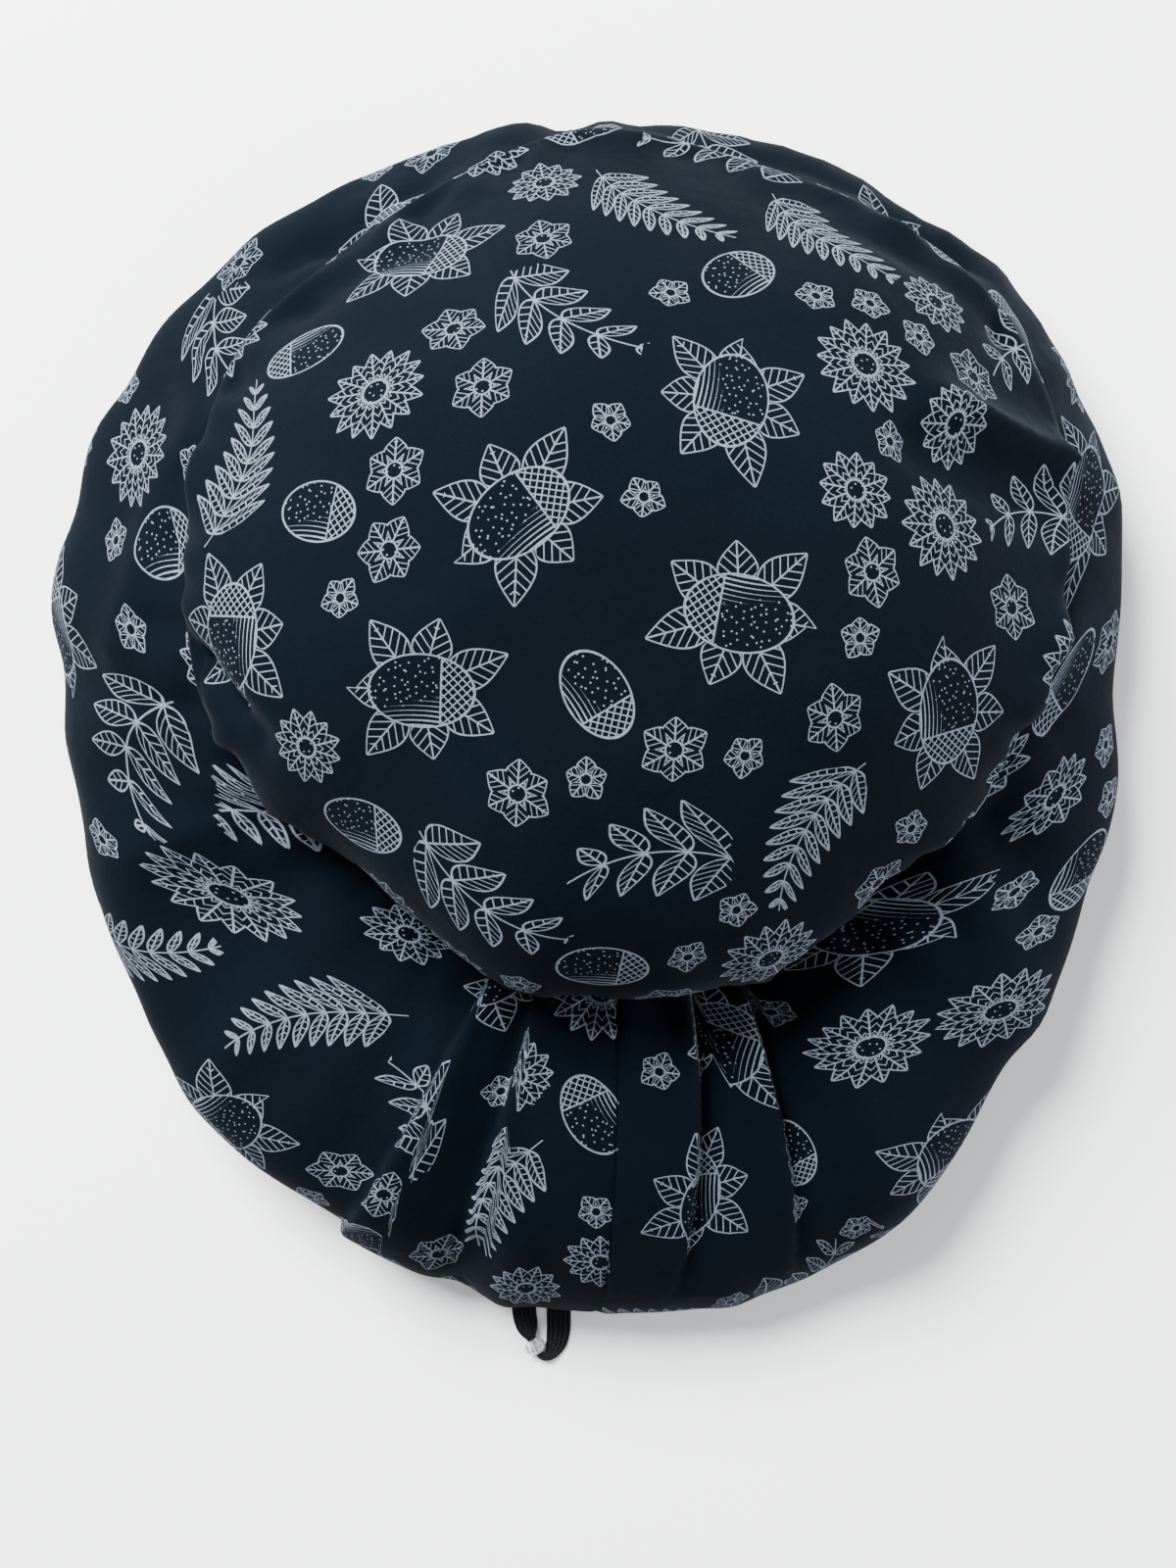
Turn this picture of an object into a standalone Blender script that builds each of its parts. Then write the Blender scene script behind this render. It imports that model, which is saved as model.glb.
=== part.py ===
"""Puffed cotton scrub cap, lying crown up on a flat surface.

The origin is on that surface, under the middle of the whole cap. +Z is up, the
forehead is towards +Y and the nape, with its adjusting elastic, towards -Y.
Lengths are in millimetres up to the last step, which scales them to metres.
"""

import math

import bmesh
import bpy
import numpy as np
from mathutils import Matrix, Vector

MM = 0.001

# Cloth
CLOTH = 1.2
GAP = 0.5
SEAM_ALLOWANCE = 4.0

# Crown panel
CROWN_HEIGHT = 112.0
CROWN_TOP = (0.0, 38.0)
CROWN_FULLNESS = 2.15
RING_SPREAD = 0.92
CROWN_RINGS = 8
EDGE_RINGS = 3
EDGE_DROP = 1.4
FLUSH_OVERHANG = 2.4
DEEP_OVERHANG = 7.0
FLUSH_DIP = 50.0
PUFF_EASE = 50.0

# Side band
AXIS = (0.6, 13.3)
BULGE_HEIGHT = 21.0
BAND_FULLNESS = 0.62
FLUSH_FULLNESS = 0.4
BAND_ROUNDING = 0.5
FLUSH_ROUNDING = 0.25
MOST_STEEP = 0.55
BAND_RINGS = 12
TUCK_UNDER = 0.9
SPREAD_UNDER = 0.6
REST_FLAT = 0.6
NAPE_BEARING = 272.0
NAPE_WIDTH = 24.0
NAPE_HEIGHT = 7.5

# Head opening
RIM_CENTRE = (4.6, -40.7)
RIM_HALF_WIDTH = 80.0
RIM_HALF_LENGTH = 104.0
RIM_SQUARENESS = 2.4
RIM_INSIDE = 1.6
HALVINGS = 30
NAPE_LIFT = 1.8
HEM_WIDTH = 12.0
HEM_SHOWS = 0.8
HEM_LOOSE = 0.5
HEM_MITRE = 1.25
HEM_RINGS = 3

# Bearings run anticlockwise from +X, so 90 is the forehead and 270 the nape.
# outline: the furthest reach of the band, from the axis
# edge, edge_z: where the crown turns under, from the axis, and how high
# overhang: how far the crown stands out over its seam, which is flush in front
# and deeply tucked at the back
SECTION_COLUMNS = ("bearing", "outline", "edge", "edge_z", "overhang")
SECTIONS = (
    (0, 135.0, 104.5, 60, 3.2),
    (15, 140.0, 117, 54, 2.6),
    (30, 146.0, 131, 48, 2.4),
    (45, 151.0, 138.5, 44, 2.4),
    (60, 149.0, 139, 41, 2.4),
    (75, 147.5, 138.5, 39, 2.4),
    (90, 148.5, 142, 37, 2.4),
    (105, 148.5, 133, 43, 2.4),
    (120, 146.0, 125, 49, 2.4),
    (135, 147.0, 121, 54, 2.4),
    (150, 146.0, 110.5, 60, 2.4),
    (165, 141.0, 101, 66, 2.8),
    (180, 136.0, 94.5, 69, 4.0),
    (195, 137.0, 86, 65, 6.2),
    (210, 140.5, 74, 62, 9.0),
    (225, 147.0, 69, 62, 9.0),
    (240, 149.5, 71, 63, 8.0),
    (255, 157.0, 74, 65, 7.0),
    (270, 160.0, 74, 65, 7.0),
    (285, 161.0, 76.5, 64, 7.0),
    (300, 155.5, 80, 63, 7.0),
    (315, 142.0, 81, 62, 7.0),
    (330, 137.0, 86, 62, 6.0),
    (345, 135.5, 97, 61, 4.2),
)

# Pleats under the back of the crown: the bearing of the upper layer's edge at
# the seam and at the hem, how deep the lower layer lies, how wide the step
# recovers, which side of the edge lies lower, and how far down the pleat runs
PLEAT_COLUMNS = ("at_seam", "at_hem", "depth", "width", "lower_side", "reach")
PLEATS = (
    (258.8, 255.0, 5.0, 12.0, -1, 0.62),
    (248.8, 243.0, 4.5, 14.0, -1, 0.90),
    (288.5, 274.0, 5.0, 12.0, 1, 0.62),
    (298.0, 286.0, 4.5, 14.0, 1, 0.70),
)

# Soft folds and dents of the cloth: a ridge or, where the height is negative,
# a hollow along a straight line in plan, with its width to either side
FOLD_COLUMNS = ("x0", "y0", "x1", "y1", "height", "width")
CROWN_FOLDS = (
    (79.0, 80.5, 118.6, 67.6, 4.0, 7.0),
    (77.0, 68.0, 110.0, 57.0, -3.5, 8.0),
    (119.3, 64.5, 104.2, 12.4, 2.5, 7.0),
    (-93.3, 77.2, -96.2, 29.7, 2.5, 8.0),
)
BAND_FOLDS = (
    (-101.4, -32.7, -75.4, -52.7, -3.0, 10.0),
    (-39.4, -78.7, -53.4, -114.7, 3.0, 10.0),
    (94.6, -14.7, 110.6, -38.7, -2.5, 10.0),
    (60.6, -80.7, 70.6, -112.7, 2.5, 11.0),
)

# Columns of the cloth grids: fine over the pleats, coarse elsewhere
FINE_FROM = 243.0
FINE_TO = 305.0
FINE_STEP = 2.0
COARSE_COLUMNS = 54

# Elastic: a flat braid, drawn narrow where it runs through the bead
ELASTIC_COLUMNS = ("x", "y", "z", "width", "thickness")
ELASTIC = (
    (-18.8, -136.5, 0.6, 6.4, 1.0),
    (-18.6, -144.5, 0.6, 6.4, 1.0),
    (-18.2, -149.5, 0.6, 6.4, 1.0),
    (-17.5, -152.4, 0.8, 6.0, 1.0),
    (-16.9, -154.1, 1.7, 4.6, 1.1),
    (-16.4, -155.2, 2.75, 1.8, 1.4),
    (-14.4, -159.2, 2.75, 1.8, 1.4),
    (-13.1, -160.4, 2.0, 2.2, 1.3),
    (-11.2, -159.7, 0.9, 3.6, 1.1),
    (-9.7, -156.8, 0.6, 5.8, 1.0),
    (-9.1, -153.0, 0.6, 6.4, 1.0),
    (-9.1, -147.0, 0.6, 6.4, 1.0),
    (-9.4, -136.5, 0.6, 6.4, 1.0),
)
ELASTIC_SIDES = 8

# Bead
BEAD_CENTRE = (-15.4, -157.2, 2.75)
BEAD_AXIS = (0.45, -0.89, 0.0)
BEAD_RADIUS = 2.7
BEAD_HOLE = 1.4
BEAD_LENGTH = 4.0
BEAD_TABLE = 0.6
BEAD_FACETS = 10


def rows(columns, table):
    """The table's rows, each as a dictionary of its named columns."""
    return [dict(zip(columns, row)) for row in table]


def around(bearings, known, values):
    """A smooth closed curve through the known values, evenly spaced, read at the bearings."""
    step = 360.0 / len(known)
    place = (np.asarray(bearings, float) - known[0]) % 360.0 / step
    i = np.floor(place).astype(int)
    f = place - i
    p0, p1, p2, p3 = (np.take(values, i + k, mode="wrap") for k in (-1, 0, 1, 2))
    bend = (2 * p0 - 5 * p1 + 4 * p2 - p3) * f + (3 * p1 - p0 - 3 * p2 + p3) * f * f
    return p1 + 0.5 * f * (p2 - p0 + bend)


def section_values(bearings):
    """Each column of the sections, at the bearings."""
    table = np.array(SECTIONS, float)
    return {
        name: around(bearings, table[:, 0], table[:, k])
        for k, name in enumerate(SECTION_COLUMNS)
        if k
    }


def near(bearings, middle, width):
    """1 at the middle bearing, falling smoothly to 0 over about twice the width."""
    off = (np.asarray(bearings) - middle + 180.0) % 360.0 - 180.0
    return np.exp(-((off / width) ** 4))


def column_bearings():
    """Bearings of the grid's columns."""
    fine = np.arange(FINE_FROM, FINE_TO, FINE_STEP)
    coarse = np.linspace(FINE_TO, FINE_FROM + 360.0, COARSE_COLUMNS + 1)[:-1]
    return np.concatenate([fine, coarse])


def from_axis(bearings, radius, height):
    """Points at these distances from the band's axis."""
    turn = np.radians(bearings)
    x = AXIS[0] + radius * np.cos(turn)
    y = AXIS[1] + radius * np.sin(turn)
    return np.stack([x, y, np.broadcast_to(height, x.shape)], axis=1)


def rim_points(bearings):
    """The head opening's edge, an egg on the surface, lifted a little at the nape."""
    turn = np.radians(bearings)
    x0, y0 = AXIS[0] - RIM_CENTRE[0], AXIS[1] - RIM_CENTRE[1]
    inner = np.zeros_like(turn)
    outer = section_values(bearings)["outline"] - RIM_INSIDE
    for _ in range(HALVINGS):
        radius = 0.5 * (inner + outer)
        wide = np.abs((x0 + radius * np.cos(turn)) / RIM_HALF_WIDTH) ** RIM_SQUARENESS
        long = np.abs((y0 + radius * np.sin(turn)) / RIM_HALF_LENGTH) ** RIM_SQUARENESS
        within = wide + long < 1.0
        inner = np.where(within, radius, inner)
        outer = np.where(within, outer, radius)
    return from_axis(bearings, outer, NAPE_LIFT * near(bearings, NAPE_BEARING, NAPE_WIDTH))


def bezier(a, b, c, d, t):
    """A cubic curve for each column, read at the places t."""
    t = np.asarray(t)[:, None, None]
    s = 1.0 - t
    return s**3 * a + 3 * s * s * t * b + 3 * s * t * t * c + t**3 * d


def evenly(curve, count, last_count, last_run):
    """The curve of each column again: evenly spaced points, then those of its last stretch."""
    run = np.linalg.norm(np.diff(curve, axis=0), axis=2)
    run = np.concatenate([np.zeros((1, curve.shape[1])), np.cumsum(run, axis=0)])
    out = np.empty((count + last_count + 1, curve.shape[1], 3))
    for j in range(curve.shape[1]):
        turn = run[-1, j] - last_run
        end = turn + last_run * np.arange(1, last_count + 1) / last_count
        at = np.concatenate([np.linspace(0.0, turn, count + 1), end])
        for k in range(3):
            out[:, j, k] = np.interp(at, run[:, j], curve[:, j, k])
    return out


def crown_seam(bearings):
    """Where the crown turns under and where its seam lies, from flush to deeply tucked."""
    size = section_values(bearings)
    reach = size["overhang"]
    tuck = np.clip((reach - FLUSH_OVERHANG) / (DEEP_OVERHANG - FLUSH_OVERHANG), 0.0, 1.0)
    edge = from_axis(bearings, size["edge"], size["edge_z"])
    flat = np.linalg.norm(edge[:, :2] - np.array(CROWN_TOP), axis=1)
    slope = CROWN_FULLNESS * (CROWN_HEIGHT - size["edge_z"]) / flat
    start = np.arctan(slope)
    dip = np.radians(FLUSH_DIP) * (1.0 - tuck)
    return {
        "outline": size["outline"],
        "edge": edge,
        "edge_r": size["edge"],
        "reach": reach,
        "drop": reach * (1.0 + (EDGE_DROP - 1.0) * tuck),
        "tuck": tuck,
        "slope": slope,
        "start": start + (0.5 * math.pi - start) * tuck,
        "end": math.pi - dip,
        "dip": dip,
    }


def curled(bearings, seam, share):
    """Points round the crown's turned edge, from where it starts (0) to the seam (1)."""
    start = seam["start"]
    turn = start + share * (seam["end"] - start)
    radius = seam["edge_r"] + seam["reach"] * (np.sin(turn) - np.sin(start))
    return from_axis(
        bearings, radius, seam["edge"][:, 2] - seam["drop"] * (np.cos(start) - np.cos(turn))
    )


def inwards(bearings, seam, along, off):
    """A step along the seam allowance, inwards and down, and off it towards the band."""
    cosine, sine = np.cos(seam["dip"]), np.sin(seam["dip"])
    level = off * sine - along * cosine
    turn = np.radians(bearings)
    return np.stack(
        [level * np.cos(turn), level * np.sin(turn), -off * cosine - along * sine], axis=1
    )


def crown_grid(bearings):
    """Rings of the crown from its top to the end of its seam allowance."""
    seam = crown_seam(bearings)
    edge = seam["edge"]
    top = np.array([*CROWN_TOP, CROWN_HEIGHT])
    turns = np.linspace(-PUFF_EASE, PUFF_EASE, 9)
    puff = np.mean([crown_seam(bearings + turn)["tuck"] for turn in turns], axis=0)
    rings = []
    for k in range(1, CROWN_RINGS + 1):
        share = math.sin(0.5 * math.pi * (k / CROWN_RINGS) ** RING_SPREAD)
        ring = top + share * (edge - top)
        low = 1.0 - share**CROWN_FULLNESS
        rise = low + puff * (low ** (1.0 / CROWN_FULLNESS) - low)
        ring[:, 2] = edge[:, 2] + (CROWN_HEIGHT - edge[:, 2]) * rise
        rings.append(ring)
    for k in range(1, EDGE_RINGS + 1):
        rings.append(curled(bearings, seam, k / EDGE_RINGS))
    rings.append(rings[-1] + inwards(bearings, seam, SEAM_ALLOWANCE, 0.0))
    return np.array(rings)


def band_grid(bearings):
    """Rings of the band from its seam allowance to the head opening, flat where it rests."""
    crown = crown_seam(bearings)
    nape = near(bearings, NAPE_BEARING, NAPE_WIDTH)
    bulge_z = BULGE_HEIGHT + (NAPE_HEIGHT - BULGE_HEIGHT) * nape
    seam = curled(bearings, crown, 1.0) + inwards(bearings, crown, 0.0, GAP)
    bulge = from_axis(bearings, crown["outline"], bulge_z)
    rim = rim_points(bearings)
    out = (bulge - seam) * (1.0, 1.0, 0.0)
    down = (bulge - seam) * (0.0, 0.0, 1.0)
    under = (rim - bulge) * (1.0, 1.0, 0.0)
    sink = (rim - bulge) * (0.0, 0.0, 1.0)
    tuck = crown["tuck"][:, None]
    full = FLUSH_FULLNESS + (BAND_FULLNESS - FLUSH_FULLNESS) * tuck
    steep = full[:, 0] * np.linalg.norm(out, axis=1) * crown["slope"]
    steep = np.minimum(steep / np.maximum(-down[:, 2], 1.0), MOST_STEEP)[:, None] * (1.0 - tuck)
    rounding = FLUSH_ROUNDING + (BAND_ROUNDING - FLUSH_ROUNDING) * tuck
    t = np.linspace(0.0, 1.0, 25)
    upper = bezier(seam, seam + full * out + steep * down, bulge - rounding * down, bulge, t)
    lower = bezier(bulge, bulge + TUCK_UNDER * sink, rim - SPREAD_UNDER * under, rim, t[1:])
    rings = evenly(np.concatenate([upper, lower]), BAND_RINGS, HEM_RINGS, HEM_WIDTH)
    rings[..., 2] = np.where(rings[..., 2] < REST_FLAT, 0.0, rings[..., 2])
    allowance = seam + inwards(bearings, crown, SEAM_ALLOWANCE, 0.0)
    return np.concatenate([allowance[None], rings])


def normals(grid):
    """The way each grid point faces, outwards."""
    along = np.roll(grid, -1, axis=1) - np.roll(grid, 1, axis=1)
    down = np.gradient(grid, axis=0)
    facing = np.cross(down, along)
    return facing / np.maximum(np.linalg.norm(facing, axis=2, keepdims=True), 1e-9)


def add_folds(grid, folds, keep):
    """Pushes the grid out or in along its folds; keep is 0 where the cloth is sewn."""
    facing = normals(grid)
    push = np.zeros(grid.shape[:2])
    for fold in rows(FOLD_COLUMNS, folds):
        start = np.array([fold["x0"], fold["y0"]], float)
        run = np.array([fold["x1"], fold["y1"]], float) - start
        flat = grid[:, :, :2] - start
        share = np.clip(flat @ run / (run @ run), 0.0, 1.0)
        away = np.linalg.norm(flat - share[..., None] * run, axis=2)
        push += fold["height"] * np.exp(-((away / fold["width"]) ** 2))
    seen = np.clip(2.0 * facing[..., 2] + 0.4, 0.0, 1.0)
    return grid + (push * keep * seen)[..., None] * facing


def add_pleats(grid, bearings, keep):
    """Steps the band down on the lower side of each pleat's edge."""
    facing = normals(grid)
    push = np.zeros(grid.shape[:2])
    down = np.linspace(0.0, 1.0, grid.shape[0])[:, None]
    radius = np.hypot(grid[:, :, 0] - AXIS[0], grid[:, :, 1] - AXIS[1])
    for pleat in rows(PLEAT_COLUMNS, PLEATS):
        edge = pleat["at_seam"] + (pleat["at_hem"] - pleat["at_seam"]) * down
        turn = (bearings[None] - edge + 180.0) % 360.0 - 180.0
        away = np.radians(turn) * radius * pleat["lower_side"]
        step = np.where(away >= 0, np.exp(-((np.maximum(away, 0) / pleat["width"]) ** 1.5)), 0.0)
        fade = np.clip(1.0 - down / pleat["reach"], 0.0, 1.0) ** 0.8
        push -= pleat["depth"] * step * fade
    return grid + (push * keep)[..., None] * facing


def hem_grid(band):
    """The turned-in hem: the band's last rings, set inside it by the cloth and a gap."""
    before, here, after = band[:-2], band[1:-1], band[2:]
    chord = np.linalg.norm(after - before, axis=2)
    path = np.linalg.norm(after - here, axis=2) + np.linalg.norm(here - before, axis=2)
    depth = np.full(band.shape[:2], CLOTH + HEM_LOOSE)
    depth[1:-1] *= np.minimum(path / chord, HEM_MITRE)
    hem = (band - depth[..., None] * normals(band))[-HEM_RINGS - 1 :]
    along = hem[-1] - hem[-2]
    hem[-1] += HEM_SHOWS * along / np.linalg.norm(along, axis=1)[:, None]
    return hem


def material(name, colour, roughness, **more):
    """A plain Principled material."""
    made = bpy.data.materials.new(name)
    made.use_nodes = True
    shader = made.node_tree.nodes["Principled BSDF"]
    shader.inputs["Base Color"].default_value = (*colour, 1.0)
    shader.inputs["Roughness"].default_value = roughness
    for socket, value in more.items():
        shader.inputs[socket.replace("_", " ")].default_value = value
    return made


def place(name, mesh, finish, collection):
    """An object of this mesh, scaled to metres, in the cap's collection."""
    mesh.transform(Matrix.Scale(MM, 4))
    mesh.materials.append(finish)
    mesh.shade_smooth()
    obj = bpy.data.objects.new(name, mesh)
    collection.objects.link(obj)
    return obj


def cloth_shell(name, grid, closed_top, finish, collection):
    """A loft through the grid's rings, then given the cloth's thickness inwards."""
    shape = bmesh.new()
    rings = [[shape.verts.new(p) for p in ring] for ring in grid]
    count = len(rings[0])
    for upper, lower in zip(rings, rings[1:]):
        for j in range(count):
            k = (j + 1) % count
            shape.faces.new((upper[j], lower[j], lower[k], upper[k]))
    if closed_top:
        top = shape.verts.new((*CROWN_TOP, CROWN_HEIGHT))
        for j in range(count):
            shape.faces.new((top, rings[0][j], rings[0][(j + 1) % count]))
    bmesh.ops.recalc_face_normals(shape, faces=shape.faces)
    mesh = bpy.data.meshes.new(name)
    shape.to_mesh(mesh)
    shape.free()
    obj = place(name, mesh, finish, collection)
    wall = obj.modifiers.new("Cloth", "SOLIDIFY")
    wall.thickness = CLOTH * MM
    wall.offset = -1.0
    wall.use_even_offset = True
    return obj


def elastic_loop(finish, collection):
    """A flat braid lofted through its sections, closed at both ends."""
    stations = rows(ELASTIC_COLUMNS, ELASTIC)
    points = [Vector((s["x"], s["y"], s["z"])) for s in stations]
    shape = bmesh.new()
    rings = []
    for i, s in enumerate(stations):
        ahead = points[min(i + 1, len(points) - 1)] - points[max(i - 1, 0)]
        side = Vector((ahead.y, -ahead.x, 0.0)).normalized()
        up = side.cross(ahead).normalized()
        ring = []
        for k in range(ELASTIC_SIDES):
            turn = 2 * math.pi * (k + 0.5) / ELASTIC_SIDES
            across = math.copysign(abs(math.cos(turn)) ** 0.5, math.cos(turn))
            over = math.copysign(abs(math.sin(turn)) ** 0.5, math.sin(turn))
            offset = side * (0.5 * s["width"] * across) + up * (0.5 * s["thickness"] * over)
            ring.append(shape.verts.new(points[i] + offset))
        rings.append(ring)
    for first, second in zip(rings, rings[1:]):
        for k in range(ELASTIC_SIDES):
            n = (k + 1) % ELASTIC_SIDES
            shape.faces.new((first[k], first[n], second[n], second[k]))
    shape.faces.new(rings[0])
    shape.faces.new(rings[-1])
    bmesh.ops.recalc_face_normals(shape, faces=shape.faces)
    mesh = bpy.data.meshes.new("elastic_loop")
    shape.to_mesh(mesh)
    shape.free()
    return place("elastic_loop", mesh, finish, collection)


def stop_bead(finish, collection):
    """A faceted bead with a hole, turned to lie along the elastic."""
    half = BEAD_LENGTH / 2
    shoulder = 0.5 * (BEAD_RADIUS + BEAD_HOLE)
    profile = (
        (BEAD_HOLE, half),
        (shoulder, half),
        (BEAD_RADIUS, BEAD_TABLE),
        (BEAD_RADIUS, -BEAD_TABLE),
        (shoulder, -half),
        (BEAD_HOLE, -half),
    )
    shape = bmesh.new()
    rings = []
    for radius, height in profile:
        ring = []
        for k in range(BEAD_FACETS):
            turn = 2 * math.pi * k / BEAD_FACETS
            ring.append(shape.verts.new((radius * math.cos(turn), radius * math.sin(turn), height)))
        rings.append(ring)
    for first, second in zip(rings, rings[1:] + rings[:1]):
        for k in range(BEAD_FACETS):
            n = (k + 1) % BEAD_FACETS
            shape.faces.new((first[k], first[n], second[n], second[k]))
    bmesh.ops.recalc_face_normals(shape, faces=shape.faces)
    mesh = bpy.data.meshes.new("stop_bead")
    shape.to_mesh(mesh)
    shape.free()
    turn = Vector((0, 0, 1)).rotation_difference(Vector(BEAD_AXIS))
    mesh.transform(turn.to_matrix().to_4x4())
    mesh.transform(Matrix.Translation(BEAD_CENTRE))
    bead = place("stop_bead", mesh, finish, collection)
    bead.data.shade_flat()
    return bead


def main():
    for obj in list(bpy.data.objects):
        bpy.data.objects.remove(obj, do_unlink=True)
    cap = bpy.data.collections.new("Scrub cap")
    bpy.context.scene.collection.children.link(cap)
    cotton = material("Cotton poplin, near black", (0.008, 0.013, 0.019), 0.85)
    braid = material("Braided elastic, black", (0.009, 0.012, 0.016), 0.7)
    acrylic = material("Clear acrylic", (0.9, 0.92, 0.95), 0.05, IOR=1.49, Transmission_Weight=1.0)

    bearings = column_bearings()
    crown = crown_grid(bearings)
    sewn = np.ones(crown.shape[:2])
    sewn[-EDGE_RINGS - 1 :] = 0.0
    crown = add_folds(crown, CROWN_FOLDS, sewn)
    cloth_shell("crown_panel", crown, True, cotton, cap)

    band = band_grid(bearings)
    sewn = np.ones(band.shape[:2])
    sewn[:2] = 0.0
    sewn[-2:] = 0.0
    band = add_folds(band, BAND_FOLDS, sewn)
    band = add_pleats(band, bearings, sewn)
    cloth_shell("side_band", band, False, cotton, cap)
    cloth_shell("rim_hem", hem_grid(band), False, cotton, cap)
    elastic_loop(braid, cap)
    stop_bead(acrylic, cap)


if __name__ == "__main__":
    main()
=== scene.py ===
"""Looks of a puffed cotton scrub cap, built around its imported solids.

The cap lies crown up: the forehead is towards +Y, the nape with its elastic
towards -Y, and the surface that it lies on is at zero. The cloth's shape is
worked out in millimetres from the same named tables as the solids, at a finer
pitch, with the wrinkles, puckers, seams and print that the solids leave out.
"""

import math

import bmesh
import bpy
import numpy as np
from mathutils import Matrix, Vector, noise


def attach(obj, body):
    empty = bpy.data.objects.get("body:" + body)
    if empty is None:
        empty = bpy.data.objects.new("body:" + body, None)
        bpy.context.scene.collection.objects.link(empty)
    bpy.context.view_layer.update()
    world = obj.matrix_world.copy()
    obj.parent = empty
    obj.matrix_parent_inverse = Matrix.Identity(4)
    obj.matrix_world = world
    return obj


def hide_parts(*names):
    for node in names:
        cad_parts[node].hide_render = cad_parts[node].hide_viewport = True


bl_info = {
    "name": "Scrub cap",
    "version": (1, 0, 0),
    "blender": (4, 5, 0),
    "location": "3D View > Sidebar > Scrub cap",
    "description": "Builds the printed cloth, the elastic and the bead of a scrub cap",
    "category": "Object",
}

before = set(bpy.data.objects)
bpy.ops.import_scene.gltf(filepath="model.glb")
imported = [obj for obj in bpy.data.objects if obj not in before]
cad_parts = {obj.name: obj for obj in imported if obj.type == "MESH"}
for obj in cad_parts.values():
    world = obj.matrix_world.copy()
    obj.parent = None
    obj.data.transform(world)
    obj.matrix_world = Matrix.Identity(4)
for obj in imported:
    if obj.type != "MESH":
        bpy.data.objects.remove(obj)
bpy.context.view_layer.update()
BODY = "root"
MM = 0.001

# Crown panel
SOLID_CLOTH = 1.2
SEAM_ALLOWANCE = 4.0
GAP = 0.5
CROWN_HEIGHT = 112.0
CROWN_TOP = (0.0, 38.0)
CROWN_FULLNESS = 2.15
EDGE_DROP = 1.4
FLUSH_OVERHANG = 2.4
DEEP_OVERHANG = 7.0
FLUSH_DIP = 50.0
PUFF_EASE = 50.0
CROWN_COLUMNS = 300
EDGE_RING = -8
CROWN_RINGS = 132

# Side band
AXIS = (0.6, 13.3)
BULGE_HEIGHT = 21.0
BAND_FULLNESS = 0.62
FLUSH_FULLNESS = 0.4
BAND_ROUNDING = 0.5
FLUSH_ROUNDING = 0.25
MOST_STEEP = 0.55
BAND_RINGS = 108
TUCK_UNDER = 0.9
SPREAD_UNDER = 0.6
NAPE_BEARING = 272.0
NAPE_WIDTH = 24.0
NAPE_HEIGHT = 7.5
FINE_FROM = 243.0
FINE_TO = 305.0
FINE_STEP = 0.45
COARSE_COLUMNS = 210

# Head opening
RIM_CENTRE = (4.6, -40.7)
RIM_HALF_WIDTH = 80.0
RIM_HALF_LENGTH = 104.0
RIM_SQUARENESS = 2.4
RIM_INSIDE = 1.6
HALVINGS = 30
NAPE_LIFT = 1.8
HEM_WIDTH = 12.0
HEM_SHOWS = 0.8
HEM_LOOSE = 0.5
HEM_RINGS = 12
HEM_STITCHES = 9.5
HEM_LOWEST = 0.1
STITCH_LENGTH, STITCH_LIFT = 0.78, 0.12

# Cut and weave
BAND_REACH = 125.0
FAR_FROM_SEAM = 60.0
WEAVE_PITCH = 0.56

# Bearings run anticlockwise from +X, so 90 is the forehead and 270 the nape.
# outline: the furthest reach of the band, from the axis
# edge, edge_z: where the crown turns under, from the axis, and how high
# overhang: how far the crown stands out over its seam, which is flush in front
# and deeply tucked at the back
SECTION_COLUMNS = ("bearing", "outline", "edge", "edge_z", "overhang")
SECTIONS = (
    (0, 135.0, 104.5, 60, 3.2),
    (15, 140.0, 117, 54, 2.6),
    (30, 146.0, 131, 48, 2.4),
    (45, 151.0, 138.5, 44, 2.4),
    (60, 149.0, 139, 41, 2.4),
    (75, 147.5, 138.5, 39, 2.4),
    (90, 148.5, 142, 37, 2.4),
    (105, 148.5, 133, 43, 2.4),
    (120, 146.0, 125, 49, 2.4),
    (135, 147.0, 121, 54, 2.4),
    (150, 146.0, 110.5, 60, 2.4),
    (165, 141.0, 101, 66, 2.8),
    (180, 136.0, 94.5, 69, 4.0),
    (195, 137.0, 86, 65, 6.2),
    (210, 140.5, 74, 62, 9.0),
    (225, 147.0, 69, 62, 9.0),
    (240, 149.5, 71, 63, 8.0),
    (255, 157.0, 74, 65, 7.0),
    (270, 160.0, 74, 65, 7.0),
    (285, 161.0, 76.5, 64, 7.0),
    (300, 155.5, 80, 63, 7.0),
    (315, 142.0, 81, 62, 7.0),
    (330, 137.0, 86, 62, 6.0),
    (345, 135.5, 97, 61, 4.2),
)

# Pleats under the back of the crown: the bearing of the upper layer's edge at
# the seam and at the hem, how deep the lower layer lies, how wide the step
# recovers, which side of the edge lies lower, how far down the pleat runs, and
# how much cloth it hides at the seam
PLEAT_COLUMNS = ("at_seam", "at_hem", "depth", "width", "lower_side", "reach", "hidden")
PLEATS = (
    (258.8, 255.0, 9.5, 14.0, -1, 0.78, 14.0),
    (248.8, 243.0, 9.5, 18.0, -1, 1.0, 16.0),
    (288.5, 274.0, 9.0, 14.0, 1, 0.78, 14.0),
    (298.0, 286.0, 8.5, 17.0, 1, 0.85, 16.0),
)
PLEAT_LIP = 0.7
PLEAT_SPREAD = 120.0

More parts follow.
